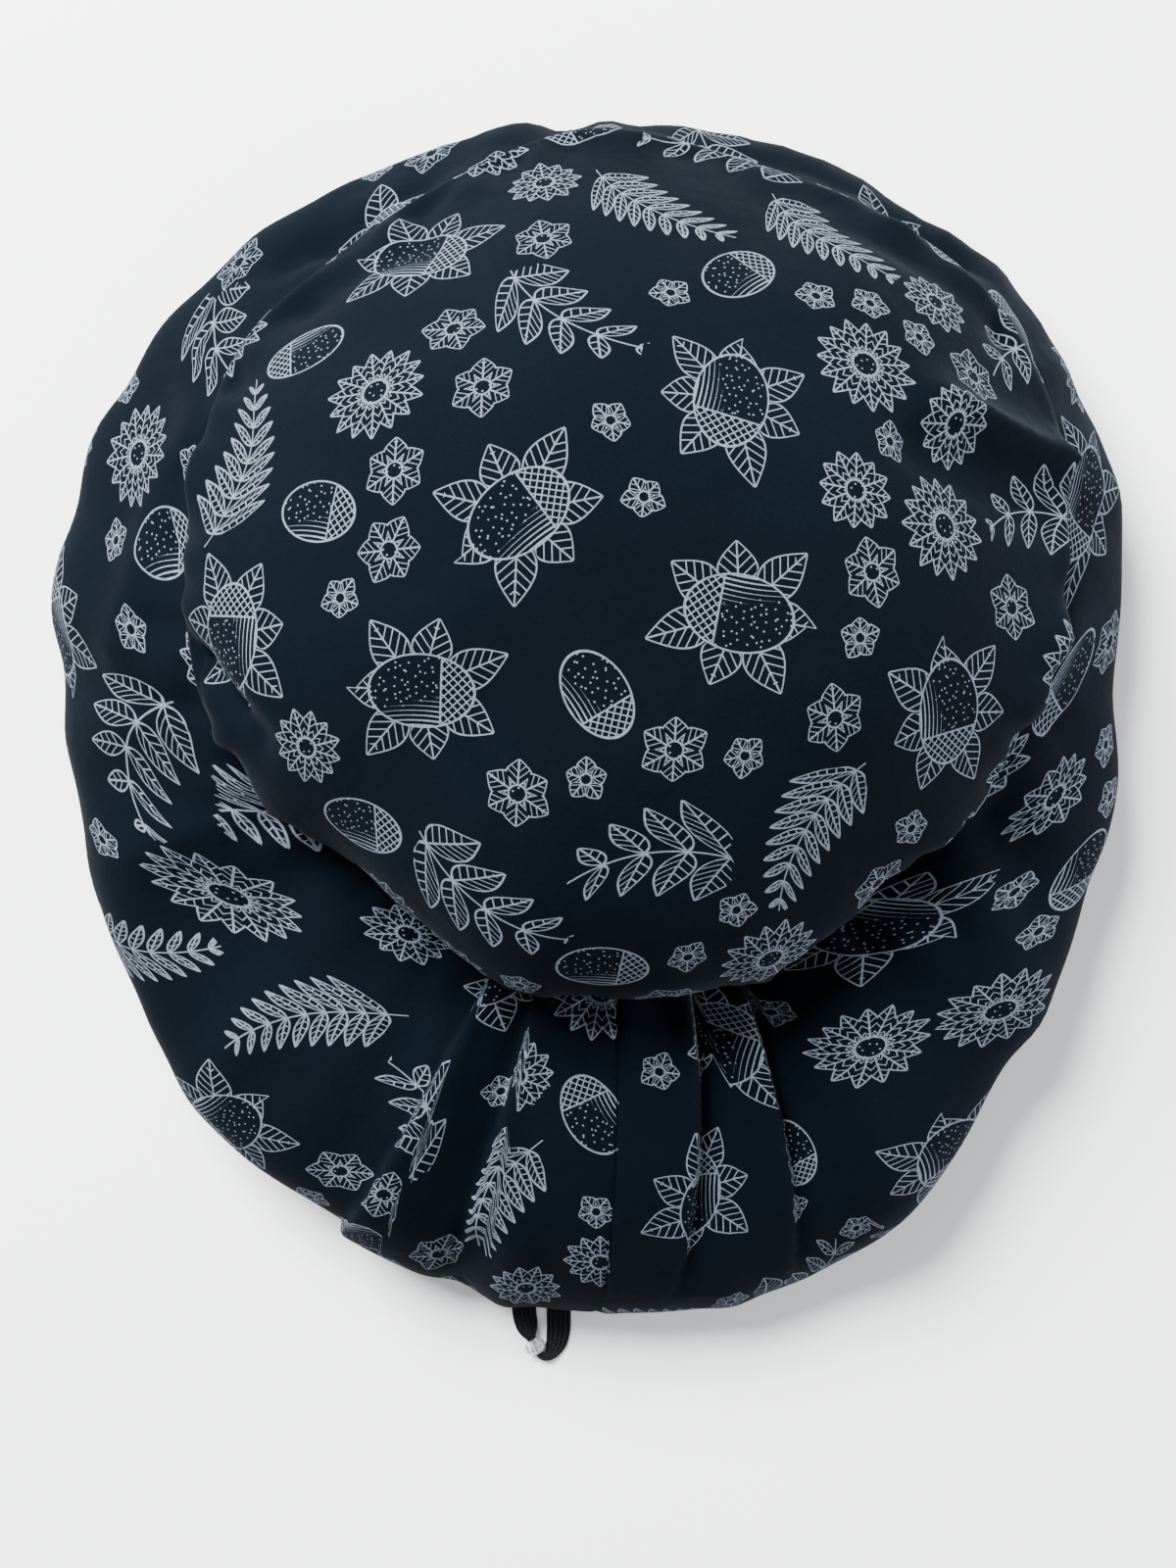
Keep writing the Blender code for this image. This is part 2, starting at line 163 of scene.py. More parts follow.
# Folds and dents: a ridge or, where the height is negative, a hollow along a
# straight line in plan, with its width to either side
FOLD_COLUMNS = ("x0", "y0", "x1", "y1", "height", "width")
CROWN_FOLDS = (
    (79.0, 80.5, 118.6, 67.6, 4.0, 7.0),
    (77.0, 68.0, 110.0, 57.0, -3.5, 8.0),
    (119.3, 64.5, 104.2, 12.4, 2.5, 7.0),
    (-93.3, 77.2, -96.2, 29.7, 2.5, 8.0),
    (84.0, 79.5, 116.0, 69.0, 2.0, 2.4),
    (90.0, 70.5, 112.0, 63.5, -1.2, 3.0),
    (-94.0, 20.0, -78.0, 2.0, -3.4, 4.5),
    (-84.0, 30.0, -76.0, 4.0, 1.4, 7.0),
    (-100.0, 26.0, -84.0, 8.0, -2.2, 2.4),
    (118.0, 62.0, 104.0, 14.0, 1.6, 2.4),
    (-102.0, 92.0, -98.0, 66.0, 2.2, 5.0),
    (-88.0, 104.0, -98.0, 84.0, -1.6, 4.0),
    (62.0, 128.0, 90.0, 112.0, -2.0, 4.5),
    (-76.0, 106.0, -42.0, 122.0, -2.0, 4.5),
)
BAND_FOLDS = (
    (-101.4, -32.7, -75.4, -52.7, -3.0, 10.0),
    (-39.4, -78.7, -53.4, -114.7, 3.0, 10.0),
    (94.6, -14.7, 110.6, -38.7, -2.5, 10.0),
    (60.6, -80.7, 70.6, -112.7, 2.5, 11.0),
    (-100.0, 20.0, -128.0, 30.0, 1.4, 7.0),
    (-97.0, 2.0, -124.0, -6.0, -1.4, 7.0),
    (-60.0, -34.0, -98.0, -84.0, 1.8, 8.0),
    (112.0, 60.0, 130.0, 58.0, -1.6, 6.0),
    (52.0, 142.0, 92.0, 124.0, -3.0, 4.5),
    (-74.0, 122.0, -38.0, 138.0, -3.0, 4.5),
    (-104.0, 70.0, -116.0, 24.0, 2.0, 6.0),
    (84.0, -22.0, 112.0, -70.0, 1.5, 8.0),
    (-31.0, -126.0, -40.0, -150.0, -3.0, 5.5),
    (-19.0, -126.0, -25.0, -152.0, 1.6, 5.0),
    (32.0, -128.0, 38.0, -152.0, 1.2, 6.0),
)

# Waves in the cloth: how high, at what radius, how wide and how long each is,
# and the seed of its noise. Those with no radius are lumps, as long as wide.
WAVES = {
    "crown swell": (1.5, 0, 62.0, 0, 1),
    "crown lumps": (0.55, 0, 24.0, 0, 2),
    "crown puckers": (2.3, 110.0, 8.5, 60.0, 3),
    "crown creases": (1.3, 110.0, 21.0, 90.0, 4),
    "band creases": (1.9, 145.0, 24.0, 150.0, 5),
    "band swell": (1.3, 0, 55.0, 0, 6),
    "band lumps": (0.45, 0, 22.0, 0, 7),
    "band puckers": (2.0, 110.0, 8.0, 55.0, 8),
    "rim gathers": (1.0, 100.0, 9.0, 120.0, 9),
}
GATHER_DEPTH = 2.6

# The centre-back seam: its bearing at the crown seam and at the hem
BACK_SEAM = (274.2, 269.7)

# Elastic: a flat braid, drawn narrow where it runs through the bead
ELASTIC_COLUMNS = ("x", "y", "z", "width", "thickness")
ELASTIC = (
    (-18.8, -136.5, 0.6, 6.4, 1.0),
    (-18.6, -144.5, 0.6, 6.4, 1.0),
    (-18.2, -149.5, 0.6, 6.4, 1.0),
    (-17.5, -152.4, 0.8, 6.0, 1.0),
    (-16.9, -154.1, 1.7, 4.6, 1.1),
    (-16.4, -155.2, 2.75, 1.8, 1.4),
    (-14.4, -159.2, 2.75, 1.8, 1.4),
    (-13.1, -160.4, 2.0, 2.2, 1.3),
    (-11.2, -159.7, 0.9, 3.6, 1.1),
    (-9.7, -156.8, 0.6, 5.8, 1.0),
    (-9.1, -153.0, 0.6, 6.4, 1.0),
    (-9.1, -147.0, 0.6, 6.4, 1.0),
    (-9.4, -136.5, 0.6, 6.4, 1.0),
)
ELASTIC_RIBS = 5
ELASTIC_STATIONS = 150
ELASTIC_ACROSS = 40
ELASTIC_LOWEST = 0.03
ELASTIC_SMOOTHINGS = 14
PLAIT_PITCH = 0.9

# Bead
BEAD_CENTRE = (-15.4, -157.2, 2.75)
BEAD_AXIS = (0.45, -0.89, 0.0)
BEAD_RADIUS = 2.7
BEAD_HOLE = 1.4
BEAD_LENGTH = 4.0
BEAD_FACETS = 10

# The print: line drawings of seed pods, daisies, fronds and twigs, scattered.
# radius: the room that each takes; per_dm2: how many on a square decimetre
# rays, ray_length, ray_half: petals or leaves around a middle
# spacing, leaf_length, leaf_half: leaves along a bowed stem
# pod_long, pod_half: half the length and half the width of a seed pod
# uneven: how much shorter the shortest petal or leaf is, as a share
MOTIF_COLUMNS = (
    "name",
    "radius",
    "per_dm2",
    "rays",
    "ray_length",
    "ray_half",
    "spacing",
    "leaf_length",
    "leaf_half",
    "pod_long",
    "pod_half",
    "uneven",
)
MOTIFS = (
    ("pod among leaves", 21.5, 1.4, 7, 22.0, 4.6, 0, 0, 0, 12.5, 8.6, 0.34),
    ("fern frond", 18.5, 0.9, 0, 0, 0, 4.4, 15.0, 1.9, 0, 0, 0),
    ("leafy twig", 18.0, 1.1, 0, 0, 0, 9.6, 16.5, 3.9, 0, 0, 0),
    ("wide daisy", 13.2, 1.5, 15, 13.0, 2.2, 0, 0, 0, 0, 0, 0.08),
    ("seed pod", 11.3, 1.6, 0, 0, 0, 0, 0, 0, 10.5, 7.0, 0),
    ("daisy", 9.8, 1.8, 12, 9.7, 2.1, 0, 0, 0, 0, 0, 0.1),
    ("windflower", 8.2, 3.0, 6, 8.2, 2.9, 0, 0, 0, 0, 0, 0.16),
    ("small flower", 5.5, 6.5, 5, 5.4, 2.0, 0, 0, 0, 0, 0, 0.2),
)
DRAWING_SIZES = {
    "ray_sizes": ("rays", "ray_length", "ray_half"),
    "leaf_sizes": ("spacing", "leaf_length", "leaf_half"),
    "pod_sizes": ("pod_long", "pod_half", "uneven"),
}
MOTIF_TRIES = 4000
MOTIF_CLEAR = 0.7
CROWN_SEED, BAND_SEED, HEM_SEED = 11, 23, 31
STEM_HALF = 22.0
LINE = 0.125
SOFT = 0.13
HATCH_PITCH = 1.2
NET_PITCH = 2.1
NET_LINE = 0.2
POD_CAP = 0.38
DOTS = {"Scale": 0.55, "reach": 0.125}
PRINTED_FACE, PRINTED_BACK = 0.92, 0.08


def linear(code):
    """The linear colour of an sRGB hex code."""
    parts = [int(code[i : i + 2], 16) / 255.0 for i in (1, 3, 5)]
    return tuple(c / 12.92 if c <= 0.04045 else ((c + 0.055) / 1.055) ** 2.4 for c in parts)


def tinted(colour, share=1.0):
    """The colour at this share of its brightness, opaque."""
    return (*(share * c for c in colour), 1.0)


COLOURS = (
    ("ground", "Dyed ground of the cotton", "#04090f"),
    ("print_line", "Printed lines", "#5f6771"),
    ("reverse", "Wrong side of the cotton", "#252d36"),
    ("elastic", "Braided elastic", "#040507"),
    ("thread", "Sewing thread", "#1a2129"),
    ("floor", "Floor", "#eef0f2"),
)


SIZES = (
    ("cloth", "Thickness of the drawn cloth wall", 0.0009, "LENGTH"),
    ("thread", "Diameter of the sewing thread", 0.00034, "LENGTH"),
    ("stitch", "Pitch of the stitches round the hem", 0.0028, "LENGTH"),
    ("wrinkles", "Strength of the small wrinkles", 1.0, "NONE"),
    ("floor", "Side of the floor", 12.0, "LENGTH"),
)


class CapSizes(bpy.types.PropertyGroup):
    """Sizes that a user would change."""

    __annotations__ = {
        key: bpy.props.FloatProperty(name=key.capitalize(), description=told, default=size, unit=unit)
        for key, told, size, unit in SIZES
    }


class CapColours(bpy.types.PropertyGroup):
    """Colours that a user would change."""

    __annotations__ = {
        key: bpy.props.FloatVectorProperty(
            name=key.replace("_", " ").capitalize(),
            description=told,
            default=linear(code),
            subtype="COLOR",
        )
        for key, told, code in COLOURS
    }


def rows(columns, table):
    """The table's rows, each as a dictionary of its named columns."""
    return [dict(zip(columns, row)) for row in table]


def around(bearings, known, values):
    """A smooth closed curve through the known values, evenly spaced, read at the bearings."""
    step = 360.0 / len(known)
    place = (np.asarray(bearings, float) - known[0]) % 360.0 / step
    i = np.floor(place).astype(int)
    f = place - i
    p0, p1, p2, p3 = (np.take(values, i + k, mode="wrap") for k in (-1, 0, 1, 2))
    bend = (2 * p0 - 5 * p1 + 4 * p2 - p3) * f + (3 * p1 - p0 - 3 * p2 + p3) * f * f
    return p1 + 0.5 * f * (p2 - p0 + bend)


def section_values(bearings):
    """Each column of the sections, at the bearings."""
    table = np.array(SECTIONS, float)
    return {
        name: around(bearings, table[:, 0], table[:, k])
        for k, name in enumerate(SECTION_COLUMNS)
        if k
    }


def turned(bearings, middle):
    """How far each bearing lies past the middle one, from -180 to 180."""
    return (np.asarray(bearings) - middle + 180.0) % 360.0 - 180.0


def near(bearings, middle, width):
    """1 at the middle bearing, falling smoothly to 0 over about twice the width."""
    return np.exp(-((turned(bearings, middle) / width) ** 4))


def hump(value, middle, width):
    """1 at the middle, falling smoothly to 0 over about twice the width."""
    return np.exp(-(((value - middle) / width) ** 2))


def polar(grid):
    """How far each point lies from the band's axis, and which way, in radians."""
    x, y = grid[..., 0] - AXIS[0], grid[..., 1] - AXIS[1]
    return np.hypot(x, y), np.arctan2(y, x)


def from_axis(bearings, radius, height):
    """Points at these distances from the band's axis."""
    turn = np.radians(bearings)
    x = AXIS[0] + radius * np.cos(turn)
    y = AXIS[1] + radius * np.sin(turn)
    return np.stack([x, y, np.broadcast_to(height, x.shape)], axis=1)


def rim_points(bearings):
    """The head opening's edge, an egg on the surface, lifted a little at the nape."""
    turn = np.radians(bearings)
    x0, y0 = AXIS[0] - RIM_CENTRE[0], AXIS[1] - RIM_CENTRE[1]
    inner = np.zeros_like(turn)
    outer = section_values(bearings)["outline"] - RIM_INSIDE
    for _ in range(HALVINGS):
        radius = 0.5 * (inner + outer)
        wide = np.abs((x0 + radius * np.cos(turn)) / RIM_HALF_WIDTH) ** RIM_SQUARENESS
        long = np.abs((y0 + radius * np.sin(turn)) / RIM_HALF_LENGTH) ** RIM_SQUARENESS
        within = wide + long < 1.0
        inner = np.where(within, radius, inner)
        outer = np.where(within, outer, radius)
    return from_axis(bearings, outer, NAPE_LIFT * near(bearings, NAPE_BEARING, NAPE_WIDTH))


def bezier(a, b, c, d, t):
    """A cubic curve for each column, read at the places t."""
    t = np.asarray(t)[:, None, None]
    s = 1.0 - t
    return s**3 * a + 3 * s * s * t * b + 3 * s * t * t * c + t**3 * d


def run_along(grid):
    """How far each grid point lies down its column."""
    step = np.linalg.norm(np.diff(grid, axis=0), axis=2)
    return np.concatenate([np.zeros((1, grid.shape[1])), np.cumsum(step, axis=0)])


def evenly(curve, count, last_count, last_run):
    """The curve of each column again: evenly spaced points, then those of its last stretch."""
    run = run_along(curve)
    out = np.empty((count + last_count + 1, curve.shape[1], 3))
    for j in range(curve.shape[1]):
        turn = run[-1, j] - last_run
        end = turn + last_run * np.arange(1, last_count + 1) / last_count
        at = np.concatenate([np.linspace(0.0, turn, count + 1), end])
        for k in range(3):
            out[:, j, k] = np.interp(at, run[:, j], curve[:, j, k])
    return out


def normals(grid):
    """The way each grid point faces, outwards."""
    along = np.roll(grid, -1, axis=1) - np.roll(grid, 1, axis=1)
    down = np.gradient(grid, axis=0)
    facing = np.cross(down, along)
    length = np.linalg.norm(facing, axis=2, keepdims=True)
    return np.where(length > 1e-9, facing / np.maximum(length, 1e-9), (0.0, 0.0, 1.0))


def smooth(value, low, high):
    """0 below low, 1 above high, with a soft start and end."""
    t = np.clip((value - low) / (high - low), 0.0, 1.0)
    return t * t * (3.0 - 2.0 * t)


def ripple(places, seed):
    """Smooth noise from about -1 to 1 at each place; the seed shifts it."""
    flat = places.reshape(-1, 3) + 17.3 * seed
    return np.array([noise.noise(p) for p in flat]).reshape(places.shape[:-1]) * 1.6


def around_band(bearings, radius, run, across, long):
    """Places for noise whose lumps are this wide around the cap and this long down it."""
    turn = np.radians(np.broadcast_to(bearings, run.shape))
    return np.stack(
        [radius * np.cos(turn) / across, radius * np.sin(turn) / across, run / long], axis=-1
    )


def wave(name, strength, grid, bearings, run):
    """How far one of the cloth's waves pushes each grid point."""
    height, radius, across, long, seed = WAVES[name]
    places = around_band(bearings, radius, run, across, long) if radius else grid / across
    return strength * height * ripple(places, seed)


def add_folds(grid, folds):
    """How far the folds push each grid point out or in, where it faces up."""
    push = np.zeros(grid.shape[:2])
    for fold in rows(FOLD_COLUMNS, folds):
        start = np.array([fold["x0"], fold["y0"]], float)
        line = np.array([fold["x1"], fold["y1"]], float) - start
        flat = grid[:, :, :2] - start
        share = np.clip(flat @ line / (line @ line), 0.0, 1.0)
        away = np.linalg.norm(flat - share[..., None] * line, axis=2)
        push += fold["height"] * hump(away, 0.0, fold["width"])
    return push * np.clip(2.0 * normals(grid)[..., 2] + 0.4, 0.0, 1.0)


def crown_seam(bearings):
    """Where the crown turns under and where its seam lies, from flush to deeply tucked."""
    size = section_values(bearings)
    reach = size["overhang"]
    tuck = np.clip((reach - FLUSH_OVERHANG) / (DEEP_OVERHANG - FLUSH_OVERHANG), 0.0, 1.0)
    edge = from_axis(bearings, size["edge"], size["edge_z"])
    flat = np.linalg.norm(edge[:, :2] - np.array(CROWN_TOP), axis=1)
    slope = CROWN_FULLNESS * (CROWN_HEIGHT - size["edge_z"]) / flat
    start = np.arctan(slope)
    dip = np.radians(FLUSH_DIP) * (1.0 - tuck)
    return {
        "outline": size["outline"],
        "edge": edge,
        "edge_r": size["edge"],
        "reach": reach,
        "drop": reach * (1.0 + (EDGE_DROP - 1.0) * tuck),
        "tuck": tuck,
        "slope": slope,
        "start": start + (0.5 * math.pi - start) * tuck,
        "end": math.pi - dip,
        "dip": dip,
    }


def curled(bearings, seam, share):
    """Points round the crown's turned edge, from where it starts (0) to the seam (1)."""
    start = seam["start"]
    turn = start + share * (seam["end"] - start)
    radius = seam["edge_r"] + seam["reach"] * (np.sin(turn) - np.sin(start))
    return from_axis(
        bearings, radius, seam["edge"][:, 2] - seam["drop"] * (np.cos(start) - np.cos(turn))
    )


def inwards(bearings, seam, along, off):
    """A step along the seam allowance, inwards and down, and off it towards the band."""
    cosine, sine = np.cos(seam["dip"]), np.sin(seam["dip"])
    level = off * sine - along * cosine
    turn = np.radians(bearings)
    return np.stack(
        [level * np.cos(turn), level * np.sin(turn), -off * cosine - along * sine], axis=1
    )


def crown_grid(bearings):
    """Rings of the crown from its top to the end of its seam allowance."""
    seam = crown_seam(bearings)
    edge = seam["edge"]
    top = np.array([*CROWN_TOP, CROWN_HEIGHT])
    turns = np.linspace(-PUFF_EASE, PUFF_EASE, 9)
    puff = np.mean([crown_seam(bearings + turn)["tuck"] for turn in turns], axis=0)
    rings = []
    for turn in np.linspace(0.0, 0.5 * math.pi, 200):
        share = math.sin(turn)
        ring = top + share * (edge - top)
        low = 1.0 - share**CROWN_FULLNESS
        rise = low + puff * (low ** (1.0 / CROWN_FULLNESS) - low)
        ring[:, 2] = edge[:, 2] + (CROWN_HEIGHT - edge[:, 2]) * rise
        rings.append(ring)
    for share in np.linspace(0.0, 1.0, 20)[1:]:
        rings.append(curled(bearings, seam, share))
    rings.append(rings[-1] + inwards(bearings, seam, SEAM_ALLOWANCE, 0.0))
    return evenly(np.array(rings), CROWN_RINGS, 4, SEAM_ALLOWANCE)


def band_grid(bearings):
    """Rings of the band from its seam allowance to the head opening."""
    crown = crown_seam(bearings)
    nape = near(bearings, NAPE_BEARING, NAPE_WIDTH)
    bulge_z = BULGE_HEIGHT + (NAPE_HEIGHT - BULGE_HEIGHT) * nape
    seam = curled(bearings, crown, 1.0) + inwards(bearings, crown, 0.0, GAP)
    bulge = from_axis(bearings, crown["outline"], bulge_z)
    rim = rim_points(bearings)
    out = (bulge - seam) * (1.0, 1.0, 0.0)
    down = (bulge - seam) * (0.0, 0.0, 1.0)
    under = (rim - bulge) * (1.0, 1.0, 0.0)
    sink = (rim - bulge) * (0.0, 0.0, 1.0)
    tuck = crown["tuck"][:, None]
    full = FLUSH_FULLNESS + (BAND_FULLNESS - FLUSH_FULLNESS) * tuck
    steep = full[:, 0] * np.linalg.norm(out, axis=1) * crown["slope"]
    steep = np.minimum(steep / np.maximum(-down[:, 2], 1.0), MOST_STEEP)[:, None] * (1.0 - tuck)
    rounding = FLUSH_ROUNDING + (BAND_ROUNDING - FLUSH_ROUNDING) * tuck
    t = np.linspace(0.0, 1.0, 80)
    upper = bezier(seam, seam + full * out + steep * down, bulge - rounding * down, bulge, t)
    lower = bezier(bulge, bulge + TUCK_UNDER * sink, rim - SPREAD_UNDER * under, rim, t[1:])
    rings = evenly(np.concatenate([upper, lower]), BAND_RINGS, HEM_RINGS, HEM_WIDTH)
    allowance = seam + inwards(bearings, crown, SEAM_ALLOWANCE, 0.0)
    return np.concatenate([allowance[None], rings])


def pleat_places(grid, bearings):
    """For each pleat: how far past the upper layer's edge each point lies, and how open it is."""
    down = np.linspace(0.0, 1.0, grid.shape[0])[:, None]
    radius, _ = polar(grid)
    for pleat in rows(PLEAT_COLUMNS, PLEATS):
        edge = pleat["at_seam"] + (pleat["at_hem"] - pleat["at_seam"]) * down
        away = np.radians(turned(bearings[None], edge)) * radius * pleat["lower_side"]
        yield pleat, away, np.clip(1.0 - down / pleat["reach"], 0.0, 1.0) ** 0.8


def pleat_push(grid, bearings):
    """How far the pleats sink each point: a rounded edge, then a step that recovers."""
    push = np.zeros(grid.shape[:2])
    for pleat, away, fade in pleat_places(grid, bearings):
        past = np.maximum(away, 0.0)
        step = smooth(away, -0.5, 0.9) * np.exp(-((past / pleat["width"]) ** 1.5))
        push += fade * (PLEAT_LIP * hump(away, -2.4, 2.2) - pleat["depth"] * step)
    return push


def unfolded(grid, bearings):
    """The band as if its pleats were drawn open, so that they hide part of the print."""
    turn = np.zeros(grid.shape[:2])
    radius, _ = polar(grid)
    for pleat, away, fade in pleat_places(grid, bearings):
        hidden = pleat["hidden"] * smooth(away, -0.4, 0.4) * fade
        turn += pleat["lower_side"] * hidden * hump(away, 0.0, PLEAT_SPREAD) / radius
    x, y = grid[..., 0] - AXIS[0], grid[..., 1] - AXIS[1]
    flat = grid.copy()
    flat[..., 0] = AXIS[0] + x * np.cos(turn) - y * np.sin(turn)
    flat[..., 1] = AXIS[1] + x * np.sin(turn) + y * np.cos(turn)
    return flat


def wrinkled_crown(bearings, strength):
    """The crown's grid with its folds, soft lumps and the puckers along its seam."""
    grid = crown_grid(bearings)
    run = run_along(grid)
    to_seam = run[-1] - SEAM_ALLOWANCE - run
    free = smooth(to_seam, 2.0, 14.0)
    push = add_folds(grid, CROWN_FOLDS)
    cloth = (strength, grid, bearings, run)
    push += wave("crown swell", *cloth)
    push += wave("crown lumps", *cloth)
    push += wave("crown puckers", *cloth) * hump(to_seam, 7.0, 9.0)
    inner = smooth(-to_seam, -62.0, -10.0)
    push += wave("crown creases", *cloth) * smooth(to_seam, 0.0, 12.0) * inner
    keep = np.where(to_seam > 1.5, np.maximum(free, smooth(to_seam, 1.5, 8.0)), 0.0)
    return grid, grid + (push * keep)[..., None] * normals(grid)


def seam_distance(grid, bearings):
    """How far each band point lies from the centre-back seam, along its ring."""
    down = np.linspace(0.0, 1.0, grid.shape[0])[:, None]
    line = BACK_SEAM[0] + (BACK_SEAM[1] - BACK_SEAM[0]) * down
    return np.radians(turned(bearings[None], line)) * polar(grid)[0]


def wrinkled_band(bearings, strength):
    """The band's grid with its folds, pleats, gathers, seam groove and stitched hem."""
    grid = band_grid(bearings)
    run = run_along(grid) - SEAM_ALLOWANCE
    to_rim = run[-1] - run
    away = seam_distance(grid, bearings)
    facing = normals(grid)
    top = np.clip(2.0 * facing[..., 2] + 0.6, 0.0, 1.0)
    sewn = smooth(run, 0.5, 9.0)
    back = near(bearings, 273.0, 30.0)
    plain = 1.0 - 0.75 * back

    folded = grid + (add_folds(grid, BAND_FOLDS) * sewn)[..., None] * facing
    push = pleat_push(grid, bearings) * smooth(run, -2.0, 3.0)
    cloth = (strength, grid, bearings, run)
    outer = smooth(to_rim, 24.0, 70.0)
    push += wave("band creases", *cloth) * smooth(run, 3.0, 34.0) * outer * plain
    push += wave("band swell", *cloth) * sewn * smooth(to_rim, 12.0, 50.0)
    push += wave("band lumps", *cloth) * sewn * smooth(to_rim, 6.0, 30.0)
    push += wave("band puckers", *cloth) * plain * hump(run, 10.0, 11.0)
    gather = 0.5 + 0.5 * wave("rim gathers", 1.0, *cloth[1:])
    held = smooth(-to_rim, -75.0, -14.0) * smooth(to_rim, 2.0, 16.0)
    push -= strength * GATHER_DEPTH * np.clip(gather, 0.0, 1.2) * held * (1.0 - top) * (1.0 - back)
    push -= 0.55 * hump(away, 0.0, 0.7) * smooth(run, 0.0, 2.0)
    push += 0.3 * hump(away, 3.2, 2.4) * sewn
    push -= 0.4 * hump(to_rim, HEM_STITCHES, 0.8)
    shaped = folded + push[..., None] * facing
    shaped[..., 2] = np.maximum(shaped[..., 2], 0.0)
    return folded, shaped


def hem_rings(band, cloth):
    """The turned-in hem: the band's last rings, set inside it by the cloth and a gap."""
    inside = max(SOLID_CLOTH + HEM_LOOSE, cloth)
    hem = (band - inside * normals(band))[-HEM_RINGS - 1 :]
    along = hem[-1] - hem[-2]
    hem[-1] += HEM_SHOWS * along / np.linalg.norm(along, axis=1)[:, None]
    hem[..., 2] = np.maximum(hem[..., 2], HEM_LOWEST)
    return hem


def scatter(points, room, area, seed):
    """Places the motifs over the cloth, the large ones first, none on another."""
    pick = np.random.default_rng(seed)
    chance = room / room.sum()
    placed = []
    centres, radii = np.full((1, 3), np.inf), np.zeros(1)
    for motif in rows(MOTIF_COLUMNS, MOTIFS):
        wanted = round(motif["per_dm2"] * area / 10000.0)
        for i in pick.choice(len(points), size=MOTIF_TRIES, p=chance):
            if not wanted:
                break
            apart = np.linalg.norm(centres - points[i], axis=1) - radii - motif["radius"]
            if apart.min() > MOTIF_CLEAR:
                placed.append((i, pick.uniform(0.0, 2.0 * math.pi), motif))
                centres = np.append(centres, points[i : i + 1], axis=0)
                radii = np.append(radii, motif["radius"])
                wanted -= 1
    return placed


def spread_flat(grid):
    """The crown's points as if each of its columns were laid out straight from the top."""
    run = run_along(grid)
    way = grid[EDGE_RING, :, :2] - np.array(CROWN_TOP)
    turn = np.arctan2(way[:, 1], way[:, 0])
    return np.stack([run * np.cos(turn), run * np.sin(turn)], axis=-1)


def on_disc(grid):
    """For any point of the crown, where all others lie from it, as if it were spread flat."""
    place = spread_flat(grid).reshape(-1, 2)
    around_top = np.linalg.norm(grid[:, :, :2] - np.array(CROWN_TOP), axis=2).reshape(-1)

    def laid(i):
        out = place[i] / max(np.linalg.norm(place[i]), 1e-6)
        squeeze = 1.0 - around_top[i] / max(np.linalg.norm(place[i]), 1.0)
        side = np.array([-out[1], out[0]])
        away = place - place[i]
        return away - squeeze * (away @ side)[:, None] * side

    return laid


def on_strip(grid):
    """For any point of the band, where all others lie from it, as if it were rolled out flat."""
    run = run_along(grid).reshape(-1)
    radius, turn = (part.reshape(-1) for part in polar(grid))

    def laid(i):
        swing = (turn - turn[i] + math.pi) % (2.0 * math.pi) - math.pi
        return np.stack([swing * 0.5 * (radius + radius[i]), run[i] - run], axis=-1)

    return laid


def print_on(mesh, flat, faces, laid, cut, seed):
    """Gives each face the drawing that it lies in, and its corners their place in that drawing."""
    points = flat.reshape(-1, 3)
    ring = np.linalg.norm(flat - np.roll(flat, 1, axis=1), axis=2)
    step = np.linalg.norm(np.gradient(flat, axis=0), axis=2)
    room = (ring * step).reshape(-1)
    placed = scatter(points, room, room.sum(), seed)
    if not placed:
        raise RuntimeError("The cloth has no room for the print")
    middle = points[faces].mean(axis=1)
    side_of = cut[faces].mean(axis=1)
    nearest = np.full(len(faces), np.inf)
    chosen = np.zeros(len(faces), int)
    corners = np.zeros((len(faces), 4, 2))
    for k, (i, turn, motif) in enumerate(placed):
        drawn = laid(i)[faces]
        apart = np.linalg.norm(middle - points[i], axis=1)
        gap = np.maximum(apart, np.linalg.norm(drawn.mean(axis=1), axis=1)) - motif["radius"]
        across = (side_of * cut[i] < 0) & (np.abs(side_of) + abs(cut[i]) < FAR_FROM_SEAM)
        closer = np.where(across, np.inf, gap) < nearest
        nearest[closer] = gap[closer]
        chosen[closer] = k
        spin = np.array([(math.cos(turn), math.sin(turn)), (-math.sin(turn), math.cos(turn))])
        corners[closer] = drawn[closer] @ spin
    mesh.uv_layers.new(name="drawing").uv.foreach_set("vector", corners.reshape(-1))
    for name, columns in DRAWING_SIZES.items():
        table = np.array([[motif[c] for c in columns] for _, _, motif in placed], np.float32)
        values = mesh.attributes.new(name, "FLOAT_VECTOR", "FACE")
        values.data.foreach_set("vector", table[chosen].reshape(-1))


def choose(obj):
    """Selects this object alone and makes it active."""
    bpy.ops.object.select_all(action="DESELECT")
    obj.select_set(True)
    bpy.context.view_layer.objects.active = obj


def apply_all(obj):
    """Applies the object's modifiers in order."""
    choose(obj)
    for modifier in list(obj.modifiers):
        bpy.ops.object.modifier_apply(modifier=modifier.name)


def grid_mesh(name, grid, weave):
    """A mesh of quads through a grid whose rings close, and its faces as vertex numbers."""
    count, across = grid.shape[:2]
    j = np.arange(across)
    k = (j + 1) % across
    upper = np.arange(count - 1)[:, None] * across
    quads = np.stack([upper + j, upper + across + j, upper + across + k, upper + k], axis=-1)
    faces = quads.reshape(-1, 4)
    mesh = bpy.data.meshes.new(name)
    mesh.from_pydata((grid.reshape(-1, 3) * MM).tolist(), [], faces.tolist())
    places, turn = weave
    corners = places.reshape(-1, 2)[faces]
    corners[np.tile(k == 0, count - 1), 2:, 0] += turn
    mesh.uv_layers.new(name="weave").uv.foreach_set("vector", corners.reshape(-1))
    return mesh, faces


